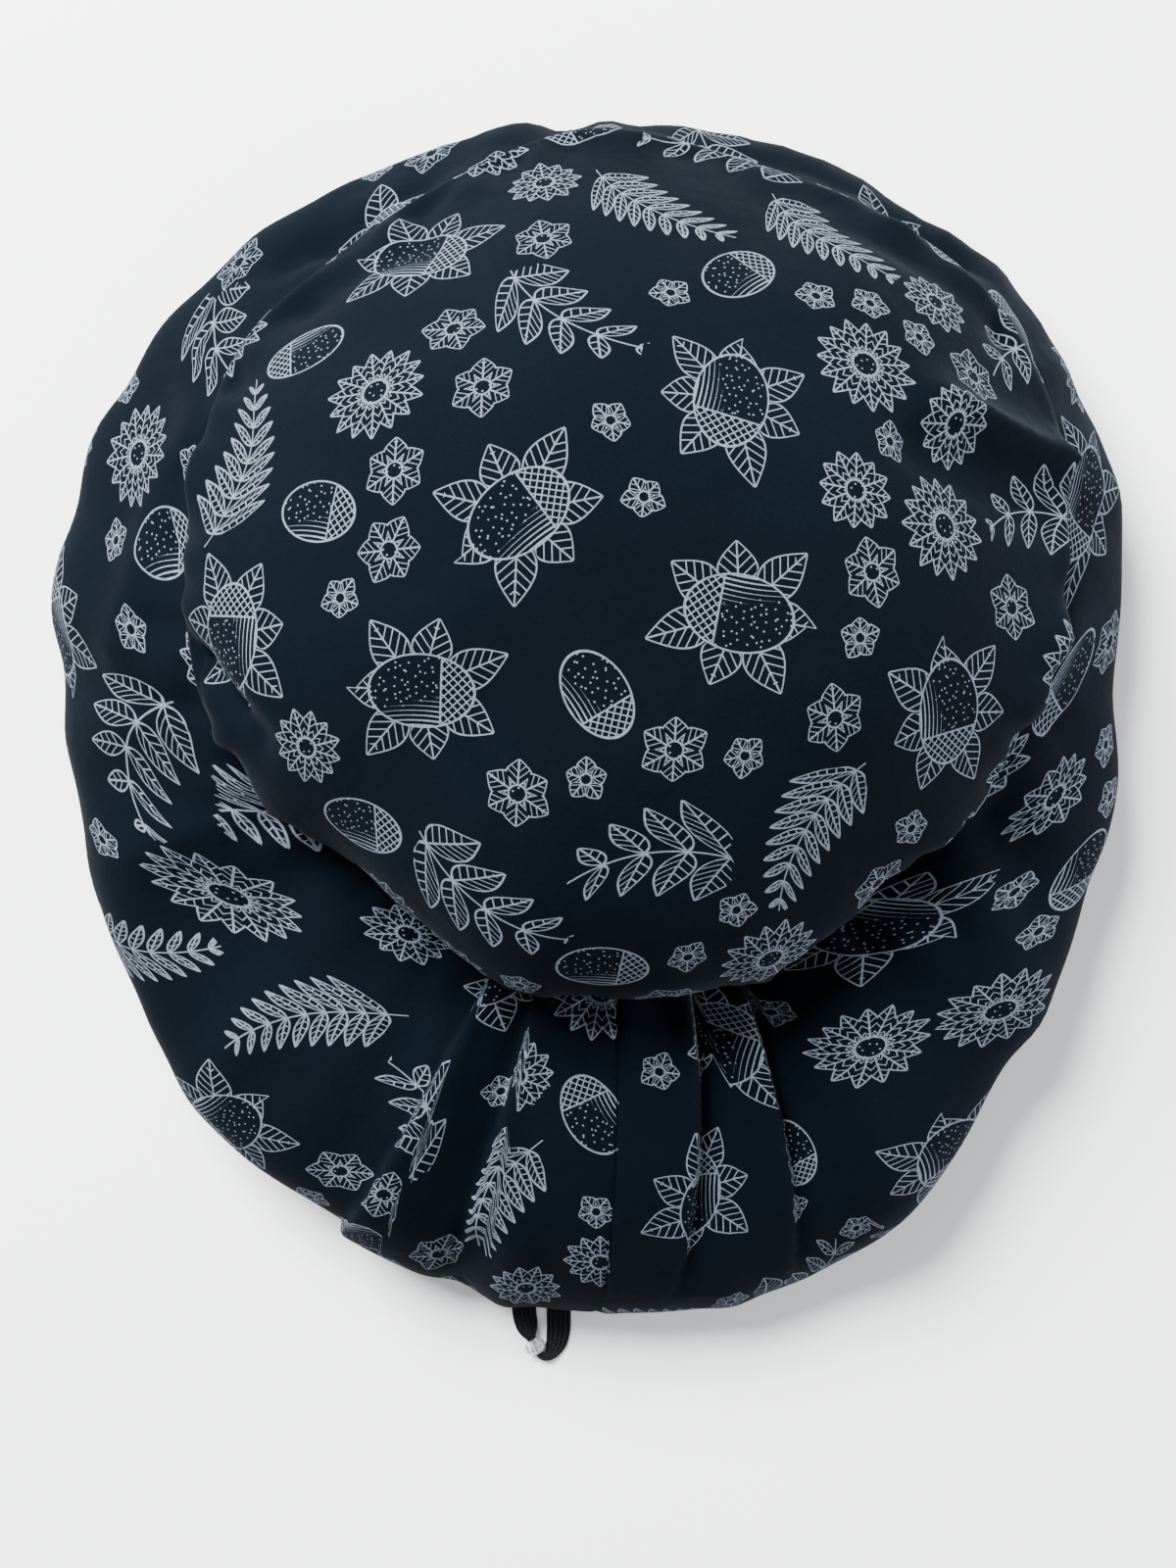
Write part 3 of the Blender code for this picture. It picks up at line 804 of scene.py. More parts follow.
def cloth_shell(name, mesh, finishes, cloth):
    """The mesh as an object with the cloth's thickness inwards, its wrong side in the second finish."""
    obj = bpy.data.objects.new(name, mesh)
    bpy.context.scene.collection.objects.link(obj)
    for finish in finishes:
        mesh.materials.append(finish)
    mesh.shade_smooth()
    wall = obj.modifiers.new("Cloth", "SOLIDIFY")
    wall.thickness = cloth
    wall.offset = -1.0
    wall.material_offset = 1
    apply_all(obj)
    return obj


def belongs(obj, node):
    """Ties a piece to the cap's body and hides the solid that it stands for."""
    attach(obj, BODY)
    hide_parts(node)


def node(tree, kind, links=None, **settings):
    """Adds a node with its settings; links gives each input, by name or number, a socket or a value."""
    made = tree.nodes.new(kind)
    for name, value in settings.items():
        setattr(made, name, value)
    for key, source in (links or {}).items():
        if isinstance(source, bpy.types.NodeSocket):
            tree.links.new(source, made.inputs[key])
        else:
            made.inputs[key].default_value = source
    return made


def result(tree, values, label, operation, *operands):
    """One step of maths; each operand is a name, a number, a socket or a step of its own."""
    links = {}
    for k, operand in enumerate(operands):
        nested = isinstance(operand, tuple)
        links[k] = result(tree, values, label, *operand) if nested else values.get(operand, operand)
    plain = operation.rstrip("!")
    clamps = plain != operation
    return node(tree, "ShaderNodeMath", links, operation=plain, use_clamp=clamps, label=label).outputs[0]


def formula(tree, values, steps):
    """Works out the steps in order and keeps each result by its name. A ! clamps it to 0 to 1."""
    for name, *step in steps:
        values[name] = result(tree, values, name, *step)
    return values


# A drawn line, from the distance to its middle: 1 on the line, 0 off it
THIN = (-1.0 / SOFT, LINE / SOFT + 1.0)

# How wide a leaf or petal is along its length, as a share of its widest
PETAL = ("SINE", ("MULTIPLY", ("POWER", "along", 0.8), math.pi))

# One leaf or petal: from how far along it (0 to 1), how far across it and its
# half width there, the outline, the midrib and slanted veins
LEAF_STEPS = (
    ("inside", "LESS_THAN", "across", "half"),
    ("edge", "ABSOLUTE", ("SUBTRACT", "across", "half")),
    ("outline", "MULTIPLY", ("MULTIPLY_ADD!", "edge", *THIN), ("GREATER_THAN", "half", 0.12)),
    ("rib", "MULTIPLY_ADD!", "across", *THIN),
    ("slant", "FRACT", ("DIVIDE", ("MULTIPLY_ADD", "across", -0.9, "run"), "vein pitch")),
    ("vein", "MULTIPLY", ("LESS_THAN", "slant", 0.16), ("LESS_THAN", "along", 0.82)),
    ("ink", "MULTIPLY", ("MAXIMUM", "rib", "vein"), "inside"),
    ("ink", "MAXIMUM", "ink", "outline"),
)

# Petals or leaves around a middle
RAY_STEPS = (
    ("reach", "SQRT", ("MULTIPLY_ADD", "y", "y", ("MULTIPLY", "x", "x"))),
    ("per turn", "DIVIDE", "rays", 2.0 * math.pi),
    ("turns", "MULTIPLY", ("ARCTAN2", "y", "x"), "per turn"),
    ("chance", "FRACT", ("MULTIPLY", ("FLOOR", "turns"), 0.618)),
    ("shorter", "SUBTRACT", 1.0, ("MULTIPLY", "chance", "uneven")),
    ("swing", "DIVIDE", ("SUBTRACT", ("FRACT", "turns"), 0.5), "per turn"),
    ("run", "MULTIPLY", "reach", ("COSINE", "swing")),
    ("across", "ABSOLUTE", ("MULTIPLY", "reach", ("SINE", "swing"))),
    ("core", "MULTIPLY", "ray length", 0.24),
    ("free", "SUBTRACT", ("MULTIPLY", "ray length", "shorter"), "core"),
    ("along", "DIVIDE!", ("SUBTRACT", "run", "core"), "free"),
    ("half", "MULTIPLY", PETAL, "ray half"),
    ("vein pitch", "MULTIPLY_ADD", "ray length", 0.06, 1.1),
)
CORE_STEPS = (
    ("off core", "SUBTRACT", "reach", "core"),
    ("in core", "LESS_THAN", "off core", 0.0),
    ("ring", "MULTIPLY_ADD!", ("ABSOLUTE", "off core"), *THIN),
    ("ring", "MULTIPLY", "ring", ("GREATER_THAN", "core", 0.1)),
    ("ink", "MAXIMUM", ("MAXIMUM", "ink", "ring"), ("MULTIPLY", "in core", "dot")),
    ("mask", "MAXIMUM", "inside", "in core"),
)

# Leaves in pairs along a bowed stem, shorter towards its tip
STEM_STEPS = (
    ("bow", "MULTIPLY_ADD", ("MULTIPLY", "x", "x"), -0.013, "y"),
    ("off stem", "ABSOLUTE", ("ADD", "bow", 2.4)),
    ("foot", "MULTIPLY_ADD", "off stem", -0.75, "x"),
    ("start", "MULTIPLY", ("ROUND", ("DIVIDE", "foot", "spacing")), "spacing"),
    ("across", "ABSOLUTE", ("MULTIPLY", ("SUBTRACT", "foot", "start"), 0.8)),
    ("run", "MULTIPLY", "off stem", 1.25),
    ("taper", "POWER", ("MULTIPLY_ADD!", "start", -0.5 / STEM_HALF, 0.5), 0.55),
    ("taper", "MULTIPLY", "taper", ("GREATER_THAN", "start", 1.0 - STEM_HALF)),
    ("along", "DIVIDE!", "run", ("MULTIPLY", "leaf length", "taper")),
    ("half", "MULTIPLY", ("MULTIPLY", PETAL, "leaf half"), "taper"),
    ("vein pitch", "MULTIPLY", "leaf length", 0.13),
)
STEM_LINE_STEPS = (
    ("on stem", "LESS_THAN", ("ABSOLUTE", "x"), STEM_HALF),
    ("stalk", "MULTIPLY", ("MULTIPLY_ADD!", "off stem", *THIN), "on stem"),
    ("ink", "MAXIMUM", "ink", "stalk"),
    ("ink", "MULTIPLY", "ink", ("GREATER_THAN", "spacing", 0.1)),
)

# A seed pod: an oval, hatched on its shaded side and dotted on the other, with
# a cross-hatched cap at one end
POD_STEPS = (
    ("px", "DIVIDE", "x", "pod long"),
    ("py", "DIVIDE", "y", "pod half"),
    ("pxx", "MULTIPLY", "px", "px"),
    ("oval", "SQRT", ("MULTIPLY_ADD", "py", "py", "pxx")),
    ("there", "GREATER_THAN", "pod half", 0.1),
    ("mask", "MULTIPLY", ("LESS_THAN", "oval", 1.0), "there"),
    ("edge", "ABSOLUTE", ("MULTIPLY", ("SUBTRACT", "oval", 1.0), "pod half")),
    ("outline", "MULTIPLY", ("MULTIPLY_ADD!", "edge", *THIN), "there"),
    ("shade", "MULTIPLY_ADD!", "py", -0.55, ("MULTIPLY_ADD", "px", 0.22, -0.12)),
    ("hatch", "FRACT", ("DIVIDE", ("MULTIPLY_ADD", "pxx", 1.5, "y"), HATCH_PITCH)),
    ("hatch", "LESS_THAN", "hatch", "shade"),
    ("spots", "MULTIPLY", "dot", ("LESS_THAN", "shade", 0.06)),
    ("cap", "GREATER_THAN", "px", POD_CAP),
    ("body", "MULTIPLY", ("MAXIMUM", "hatch", "spots"), ("SUBTRACT", 1.0, "cap")),
    ("cross", "LESS_THAN", ("FRACT", ("DIVIDE", ("ADD", "x", "y"), NET_PITCH)), NET_LINE),
    ("net", "LESS_THAN", ("FRACT", ("DIVIDE", ("SUBTRACT", "x", "y"), NET_PITCH)), NET_LINE),
    ("net", "MULTIPLY", ("MAXIMUM", "net", "cross"), "cap"),
    ("brim", "ABSOLUTE", ("MULTIPLY", ("SUBTRACT", "px", POD_CAP), "pod long")),
    ("brim", "MULTIPLY_ADD!", "brim", *THIN),
    ("body", "MAXIMUM", ("MAXIMUM", "body", "net"), "brim"),
    ("ink", "MAXIMUM", ("MULTIPLY", "body", "mask"), "outline"),
)

# The nearest drawing hides the ones behind it
LAYER_STEPS = (
    ("ray ink", "MULTIPLY", "ray ink", ("SUBTRACT", 1.0, "pod mask")),
    ("stem ink", "MULTIPLY", "stem ink", ("SUBTRACT", 1.0, "ray mask")),
    ("ink", "MAXIMUM", ("MAXIMUM", "ray ink", "stem ink"), "pod ink"),
)

# The cotton's own look: its weave, uneven dye, lint, worn ink and relief
THREADS = 2.0 * math.pi / WEAVE_PITCH
COTTON_STEPS = (
    ("weave", "MULTIPLY", ("SINE", ("MULTIPLY", "u", THREADS)), ("SINE", ("MULTIPLY", "v", THREADS))),
    ("tone", "MULTIPLY_ADD!", ("MULTIPLY_ADD", "grain", 0.5, "patches"), 0.9, -0.25),
    ("lint", "MULTIPLY", ("LESS_THAN", "near", 0.017), ("GREATER_THAN", "lucky", 0.86)),
    ("lint", "MULTIPLY", "lint", 0.6),
    ("worn", "MULTIPLY_ADD!", "grain", 0.9, 0.42),
    ("ink", "MULTIPLY", ("MULTIPLY", "print", "worn"), "ink share"),
    ("relief", "MULTIPLY", ("MULTIPLY_ADD", "grain", 0.8, "weave"), 0.5),
)
# The centre-back seam's line: painted shade, the ground darkened to a quarter of its brightness where
# the seam's groove lies
PAINTED_SEAM_SHADE_STEPS = (("groove", "MULTIPLY", ("MULTIPLY_ADD!", ("ABSOLUTE", "away"), -3.2, 1.2), 0.85),)
ELASTIC_STEPS = (
    ("rib", "ABSOLUTE", ("SINE", ("MULTIPLY", "u", ELASTIC_RIBS * math.pi))),
    ("furrow", "MULTIPLY", ("MULTIPLY_ADD!", "rib", -3.4, 1.25), 0.55),
    ("plait", "SINE", ("MULTIPLY_ADD", "v", 2.0 * math.pi / PLAIT_PITCH, "rib")),
    ("relief", "MULTIPLY_ADD", "plait", 0.3, "rib"),
)


def drawing(tree):
    """The ink of the print, 1 on its lines, read from the cloth's drawing map and sizes."""
    place = node(tree, "ShaderNodeUVMap", uv_map="drawing").outputs[0]
    xy = node(tree, "ShaderNodeSeparateXYZ", {0: place})
    values = {"x": xy.outputs[0], "y": xy.outputs[1]}
    for name, columns in DRAWING_SIZES.items():
        size = node(tree, "ShaderNodeAttribute", attribute_name=name)
        parts = node(tree, "ShaderNodeSeparateXYZ", {0: size.outputs["Vector"]})
        for column, socket in zip(columns, parts.outputs):
            values[column.replace("_", " ")] = socket
    dots = {"Vector": place, "Scale": DOTS["Scale"]}
    cells = node(tree, "ShaderNodeTexVoronoi", dots, voronoi_dimensions="2D")
    formula(tree, values, [("dot", "LESS_THAN", cells.outputs["Distance"], DOTS["reach"])])
    rays = formula(tree, dict(values), RAY_STEPS + LEAF_STEPS + CORE_STEPS)
    stem = formula(tree, dict(values), STEM_STEPS + LEAF_STEPS + STEM_LINE_STEPS)
    pod = formula(tree, dict(values), POD_STEPS)
    layers = {
        "ray ink": rays["ink"],
        "ray mask": rays["mask"],
        "stem ink": stem["ink"],
        "pod ink": pod["ink"],
        "pod mask": pod["mask"],
    }
    return formula(tree, layers, LAYER_STEPS)["ink"]


def new_material(name, links):
    """A material with a Principled shader whose sockets take these values, and its node tree."""
    made = bpy.data.materials.new(name)
    made.use_nodes = True
    tree = made.node_tree
    shader = tree.nodes["Principled BSDF"]
    for key, value in links.items():
        shader.inputs[key].default_value = value
    return made, tree, shader


def coated(tree, shader, colour, coats):
    """Lays coats of (share, colour) over a colour, in order, and gives the result to the shader."""
    for share, coat in coats:
        ends = {0: share, 6: colour, 7: coat}
        colour = node(tree, "ShaderNodeMix", ends, data_type="RGBA").outputs[2]
    tree.links.new(colour, shader.inputs["Base Color"])


def cotton(name, ground, ink_colour, ink_share, seamed):
    """Cotton poplin, piece-dyed near black and screen-printed: matt, with a fine dry grain and a faint
    bloom of fluff at grazing angles. Its threads lie about 0.28 mm apart, drawn twice as coarse so
    that they show."""
    finish = {"Roughness": 0.9, "Sheen Weight": 0.035, "Sheen Roughness": 0.35}
    finish.update({"Sheen Tint": tinted(linear("#a8b4c2")), "Specular IOR Level": 0.02})
    made, tree, shader = new_material(name, finish)
    where = node(tree, "ShaderNodeTexCoord").outputs["Object"]
    weave = node(tree, "ShaderNodeUVMap", uv_map="weave").outputs[0]
    uv = node(tree, "ShaderNodeSeparateXYZ", {0: weave})
    fluff = node(tree, "ShaderNodeTexVoronoi", {"Vector": where, "Scale": 62.0})
    lucky = node(tree, "ShaderNodeSeparateColor", {0: fluff.outputs["Color"]})
    values = {"u": uv.outputs[0], "v": uv.outputs[1], "near": fluff.outputs["Distance"]}
    values.update({"lucky": lucky.outputs[0], "print": drawing(tree), "ink share": ink_share})
    for key, scale, detail in (("grain", 1100.0, 2.0), ("patches", 16.0, 3.0), ("creases", 130.0, 3.0)):
        noise_at = {"Vector": where, "Scale": scale, "Detail": detail}
        values[key] = node(tree, "ShaderNodeTexNoise", noise_at).outputs["Fac"]
    formula(tree, values, COTTON_STEPS)
    coats = [("tone", tinted(ground, 1.25)), ("ink", tinted(ink_colour))]
    if seamed:
        values["away"] = node(tree, "ShaderNodeAttribute", attribute_name="seam").outputs["Fac"]
        formula(tree, values, PAINTED_SEAM_SHADE_STEPS)
        # Painted shade: the seam's groove drawn in the ground at a quarter of its brightness
        coats.append(("groove", tinted(ground, 0.25)))
    coats.append(("lint", tinted(linear("#8f969e"))))
    coated(tree, shader, tinted(ground, 0.6), [(values[share], coat) for share, coat in coats])
    creased = {"Height": values["creases"], "Strength": 0.55, "Distance": 0.0009}
    soft = node(tree, "ShaderNodeBump", creased).outputs[0]
    woven = {"Height": values["relief"], "Strength": 0.5, "Distance": 0.00009, "Normal": soft}
    tree.links.new(node(tree, "ShaderNodeBump", woven).outputs[0], shader.inputs["Normal"])
    return made


def braided_elastic(colour):
    """Flat braided elastic of polyester over rubber: lengthwise ribs with paler furrows, a dull
    plastic gloss, and a fine slanting plait across each rib."""
    finish = {"Roughness": 0.62, "Specular IOR Level": 0.08}
    finish.update({"Sheen Weight": 0.03, "Sheen Roughness": 0.4})
    made, tree, shader = new_material("Braided elastic, black", finish)
    place = node(tree, "ShaderNodeUVMap", uv_map="weave").outputs[0]
    uv = node(tree, "ShaderNodeSeparateXYZ", {0: place})
    values = formula(tree, {"u": uv.outputs[0], "v": uv.outputs[1]}, ELASTIC_STEPS)
    coated(tree, shader, tinted(colour), [(values["furrow"], tinted(linear("#242b33")))])
    ribbed = {"Height": values["relief"], "Strength": 0.6, "Distance": 0.00022}
    tree.links.new(node(tree, "ShaderNodeBump", ribbed).outputs[0], shader.inputs["Normal"])
    return made


def cut_acrylic():
    """Clear acrylic, moulded with flat facets: bright edges, and slightly milky from handling."""
    finish = {"Base Color": tinted(linear("#f4f7fa")), "Transmission Weight": 0.9, "IOR": 1.49}
    made, tree, shader = new_material("Clear acrylic, facet moulded", finish)
    where = node(tree, "ShaderNodeTexCoord").outputs["Object"]
    cloud = node(tree, "ShaderNodeTexNoise", {"Vector": where, "Scale": 900.0, "Detail": 2.0})
    values = formula(tree, {}, [("rough", "MULTIPLY", cloud.outputs["Fac"], 0.16)])
    tree.links.new(values["rough"], shader.inputs["Roughness"])
    return made


def mottled(tree, shader, colour, share, scale, detail):
    """Colours the shader unevenly, down to this share of the colour, and gives the noise for it."""
    where = node(tree, "ShaderNodeTexCoord").outputs["Object"]
    spots = node(tree, "ShaderNodeTexNoise", {"Vector": where, "Scale": scale, "Detail": detail})
    coated(tree, shader, tinted(colour, share), [(spots.outputs["Fac"], tinted(colour))])
    return spots.outputs["Fac"]


def sewing_thread(colour):
    """Spun polyester thread, two plies twisted: matt and mottled, with a fine bumpy grain."""
    made, tree, shader = new_material("Spun polyester thread", {"Roughness": 0.7, "Sheen Weight": 0.2})
    ply = mottled(tree, shader, colour, 0.6, 3000.0, 1.0)
    bump = node(tree, "ShaderNodeBump", {"Height": ply, "Distance": 0.0001})
    tree.links.new(bump.outputs[0], shader.inputs["Normal"])
    return made


def painted_board(colour):
    """Matt white board: even and pale, with only the faintest mottle."""
    made, tree, shader = new_material("Matt white board", {"Roughness": 0.75, "Specular IOR Level": 0.2})
    mottled(tree, shader, colour, 0.97, 6.0, 2.0)
    return made


def two_sides(context, seamed):
    """The printed face and the plain wrong side of the cotton."""
    colours = context.scene.cap_colours
    label = "band" if seamed else "crown"
    sides = (
        ("Printed cotton poplin", colours.ground, PRINTED_FACE),
        ("Cotton poplin, wrong side", colours.reverse, PRINTED_BACK),
    )
    ink = colours.print_line
    return [cotton(f"{kind}, {label}", ground, ink, share, seamed) for kind, ground, share in sides]


def band_bearings():
    """Bearings of the band's columns: fine over the pleats, coarse elsewhere."""
    fine = np.arange(FINE_FROM, FINE_TO, FINE_STEP)
    coarse = np.linspace(FINE_TO, FINE_FROM + 360.0, COARSE_COLUMNS + 1)[:-1]
    return np.concatenate([fine, coarse])


class CAP_OT_crown(bpy.types.Operator):
    """Builds the crown panel, puffed and puckered along its seam"""

    bl_idname = "cap.crown"
    bl_label = "Crown panel"

    def execute(self, context):
        sizes = context.scene.cap_sizes
        bearings = np.linspace(0.0, 360.0, CROWN_COLUMNS, endpoint=False)
        flat, grid = wrinkled_crown(bearings, sizes.wrinkles)
        run = run_along(flat)
        mesh, faces = grid_mesh("crown_cloth", grid, (spread_flat(flat), 0.0))
        print_on(mesh, flat, faces, on_disc(flat), np.zeros(run.size), CROWN_SEED)
        close_pole(mesh)
        crown = cloth_shell("crown_cloth", mesh, two_sides(context, False), sizes.cloth)
        belongs(crown, "crown_panel")
        return {"FINISHED"}


class CAP_OT_band(bpy.types.Operator):
    """Builds the side band with its pleats, and the hem turned in at its lower edge"""

    bl_idname = "cap.band"
    bl_label = "Side band and hem"

    def execute(self, context):
        sizes = context.scene.cap_sizes
        bearings = band_bearings()
        folded, grid = wrinkled_band(bearings, sizes.wrinkles)
        run = run_along(folded)
        across = np.broadcast_to(np.radians(bearings) * BAND_REACH, run.shape)
        places = np.stack([across, run], axis=-1)
        turn = 2.0 * math.pi * BAND_REACH
        finishes = two_sides(context, True)
        mesh, faces = grid_mesh("band_cloth", grid, (places, turn))
        away = seam_distance(folded, bearings).reshape(-1)
        opened = unfolded(folded, bearings)
        print_on(mesh, opened, faces, on_strip(opened), away, BAND_SEED)
        mark_seam(mesh, away[faces])
        band = cloth_shell("band_cloth", mesh, finishes, sizes.cloth)
        belongs(band, "side_band")

        hem = hem_rings(grid, sizes.cloth / MM)
        mesh, faces = grid_mesh("hem_cloth", hem, (places[-HEM_RINGS - 1 :], turn))
        print_on(mesh, hem, faces, on_strip(hem), np.zeros(hem.size // 3), HEM_SEED)
        inside = cloth_shell("hem_cloth", mesh, (finishes[1], finishes[1]), sizes.cloth)
        belongs(inside, "rim_hem")
        return {"FINISHED"}


def close_pole(mesh):
    """Merges the crown's first ring, whose points all lie at its top."""
    shape = bmesh.new()
    shape.from_mesh(mesh)
    shape.verts.ensure_lookup_table()
    bmesh.ops.remove_doubles(shape, verts=shape.verts[:CROWN_COLUMNS], dist=1e-6)
    shape.to_mesh(mesh)
    shape.free()


def mark_seam(mesh, away):
    """Keeps how far each face corner lies from the centre-back seam."""
    far = np.abs(away).max(axis=1) > FAR_FROM_SEAM
    away = np.where(far[:, None], FAR_FROM_SEAM, away).astype(np.float32)
    values = mesh.attributes.new("seam", "FLOAT", "CORNER")
    values.data.foreach_set("value", away.reshape(-1))


def read_at(place, run, table):
    """The table's first three columns, read between its rows at this place along the run."""
    return Vector([np.interp(place, run, table[:, k]) for k in range(3)])


class CAP_OT_stitches(bpy.types.Operator):
    """Sews the row of stitches that holds the hem"""

    bl_idname = "cap.stitches"
    bl_label = "Hem stitches"

    def execute(self, context):
        sizes = context.scene.cap_sizes
        bpy.ops.object.select_all(action="DESELECT")
        bpy.ops.mesh.primitive_ico_sphere_add(subdivisions=1, radius=0.5)
        stitch = context.object
        bpy.ops.object.mode_set(mode="EDIT")
        bpy.ops.mesh.select_all(action="SELECT")
        bpy.ops.transform.resize(value=(STITCH_LENGTH * sizes.stitch, sizes.thread, sizes.thread))
        bpy.ops.object.mode_set(mode="OBJECT")
        shape = stitch.data

        bearings = band_bearings()
        _, grid = wrinkled_band(bearings, sizes.wrinkles)
        to_rim = run_along(grid)[-1] - run_along(grid)
        line = np.array(
            [
                [np.interp(-HEM_STITCHES, -to_rim[:, j], grid[:, j, k]) for k in range(3)]
                for j in range(grid.shape[1])
            ]
        )
        facing = normals(grid)[-10]
        line, facing = (np.concatenate([part, part[:1]]) for part in (line, facing))
        run = run_along(line[:, None])[:, 0]
        count = int(run[-1] * MM / sizes.stitch)
        at = np.linspace(0.0, run[-1], count, endpoint=False)
        pieces = [stitch]
        for k, place in enumerate(at):
            here = read_at(place, run, line)
            up = read_at(place, run, facing)
            along = (read_at(place + 0.5, run, line) - here).normalized()
            across = up.cross(along).normalized()
            up = along.cross(across)
            turn = Matrix((along, across, up)).transposed().to_4x4()
            move = Matrix.Translation(here * MM + up * (STITCH_LIFT * sizes.thread))
            copy = stitch.copy() if k else stitch
            copy.data = shape.copy()
            copy.data.transform(move @ turn)
            if k:
                context.scene.collection.objects.link(copy)
                pieces.append(copy)
        bpy.ops.object.select_all(action="DESELECT")
        for piece in pieces:
            piece.select_set(True)
        context.view_layer.objects.active = stitch
        bpy.ops.object.join()
        stitch.name = "hem_stitches"
        stitch.data.shade_smooth()
        stitch.data.materials.append(sewing_thread(context.scene.cap_colours.thread))
        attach(stitch, BODY)
        return {"FINISHED"}


def boxed(value, power):
    """Pulls a cosine or sine towards a square's sides, keeping its sign."""
    return np.sign(value) * np.abs(value) ** power


class CAP_OT_elastic(bpy.types.Operator):
    """Builds the ribbed elastic loop under the nape"""

    bl_idname = "cap.elastic"
    bl_label = "Elastic loop"

    def execute(self, context):
        table = np.array(ELASTIC)
        run = run_along(table[:, None, :3])[:, 0]
        at = np.linspace(0.0, run[-1], ELASTIC_STATIONS)
        path = np.stack([np.interp(at, run, table[:, k]) for k in range(len(ELASTIC_COLUMNS))], axis=1)
        for _ in range(ELASTIC_SMOOTHINGS):
            path[1:-1] = 0.25 * path[:-2] + 0.5 * path[1:-1] + 0.25 * path[2:]
        ahead = np.gradient(path[:, :3], axis=0)
        side = np.stack([ahead[:, 1], -ahead[:, 0], np.zeros(len(ahead))], axis=1)
        side /= np.linalg.norm(side, axis=1, keepdims=True)
        up = np.cross(side, ahead)
        up /= np.linalg.norm(up, axis=1, keepdims=True)
        turn = 2.0 * math.pi * (np.arange(ELASTIC_ACROSS) + 0.5) / ELASTIC_ACROSS
        across = boxed(np.cos(turn), 0.7)
        rib = np.abs(np.sin(ELASTIC_RIBS * math.pi * (across + 1.0) / 2.0))
        over = boxed(np.sin(turn), 0.4) * (0.8 + 0.2 * rib)
        grid = (
            path[:, None, :3]
            + side[:, None] * (0.5 * path[:, 3, None] * across)[..., None]
            + up[:, None] * (0.5 * path[:, 4, None] * over)[..., None]
        )
        grid[..., 2] = np.maximum(grid[..., 2], ELASTIC_LOWEST)
        sides = np.broadcast_arrays((across + 1.0) / 2.0, at[:, None])
        mesh, _ = grid_mesh("elastic", grid, (np.stack(sides, axis=-1), 0.0))
        elastic = bpy.data.objects.new("elastic", mesh)
        context.scene.collection.objects.link(elastic)
        choose(elastic)
        bpy.ops.object.mode_set(mode="EDIT")
        bpy.ops.mesh.select_all(action="DESELECT")
        bpy.ops.mesh.select_non_manifold()
        bpy.ops.mesh.edge_face_add()
        bpy.ops.mesh.select_all(action="SELECT")
        bpy.ops.mesh.normals_make_consistent(inside=False)
        bpy.ops.object.mode_set(mode="OBJECT")
        mesh.shade_smooth()
        mesh.materials.append(braided_elastic(context.scene.cap_colours.elastic))
        belongs(elastic, "elastic_loop")
        return {"FINISHED"}


class CAP_OT_bead(bpy.types.Operator):
    """Builds the small faceted bead on the elastic"""

    bl_idname = "cap.bead"
    bl_label = "Stop bead"

    def execute(self, context):
        bpy.ops.object.select_all(action="DESELECT")
        bpy.ops.mesh.primitive_cylinder_add(
            vertices=BEAD_FACETS, radius=BEAD_RADIUS * MM, depth=BEAD_LENGTH * MM
        )
        bead = context.object
        bead.name = "bead"
        bpy.ops.object.mode_set(mode="EDIT")
        bpy.ops.mesh.select_mode(type="FACE")
        select_ends(bead.data)
        bpy.ops.mesh.bevel(offset=0.62 * BEAD_LENGTH / 2 * MM, affect="EDGES", segments=1)
        select_ends(bead.data)
        bpy.ops.mesh.inset(thickness=0.1 * MM)
        narrow_ends(bead.data)
        select_ends(bead.data)
        bpy.ops.mesh.bridge_edge_loops()
        bpy.ops.mesh.select_all(action="SELECT")
        bpy.ops.mesh.normals_make_consistent(inside=False)
        bpy.ops.object.mode_set(mode="OBJECT")
        turn = Vector((0, 0, 1)).rotation_difference(Vector(BEAD_AXIS))
        bead.data.transform(turn.to_matrix().to_4x4())
        bead.data.transform(Matrix.Translation(Vector(BEAD_CENTRE) * MM))
        bead.data.shade_flat()
        bead.data.materials.append(cut_acrylic())
        belongs(bead, "stop_bead")
        return {"FINISHED"}


def select_ends(mesh):
    """Selects the two end faces of the bead, in edit mode."""
    shape = bmesh.from_edit_mesh(mesh)
    ends = [f for f in shape.faces if len(f.verts) == BEAD_FACETS and abs(f.normal.z) > 0.9]
    if len(ends) != 2:
        raise RuntimeError("The bead's two ends were not found")
    for face in shape.faces:
        face.select_set(face in ends)
    shape.select_flush_mode()
    bmesh.update_edit_mesh(mesh)


def narrow_ends(mesh):
    """Draws the two end faces in to the size of the hole."""
    shape = bmesh.from_edit_mesh(mesh)
    for face in shape.faces:
        if face.select and len(face.verts) == BEAD_FACETS:
            for corner in face.verts:
                flat = corner.co.xy.normalized() * BEAD_HOLE * MM
                corner.co.x, corner.co.y = flat
    bmesh.update_edit_mesh(mesh)


# Soft lights: where each hangs, its size and its power
LIGHT_COLUMNS = ("name", "x", "y", "z", "size", "power")
LIGHTS = (
    ("key", -0.7, 0.95, 1.2, 1.0, 205.0),
    ("fill", 0.2, -1.25, 1.2, 1.2, 13.0),
    ("edge", 1.2, 0.0, 0.16, 0.35, 30.0),
)
CAMERA_HEIGHT = 0.65
CAMERA_OVER = (-0.0014, -0.0087)
CAMERA_ANGLE = 2.0 * math.atan(208.0 / 650.0)


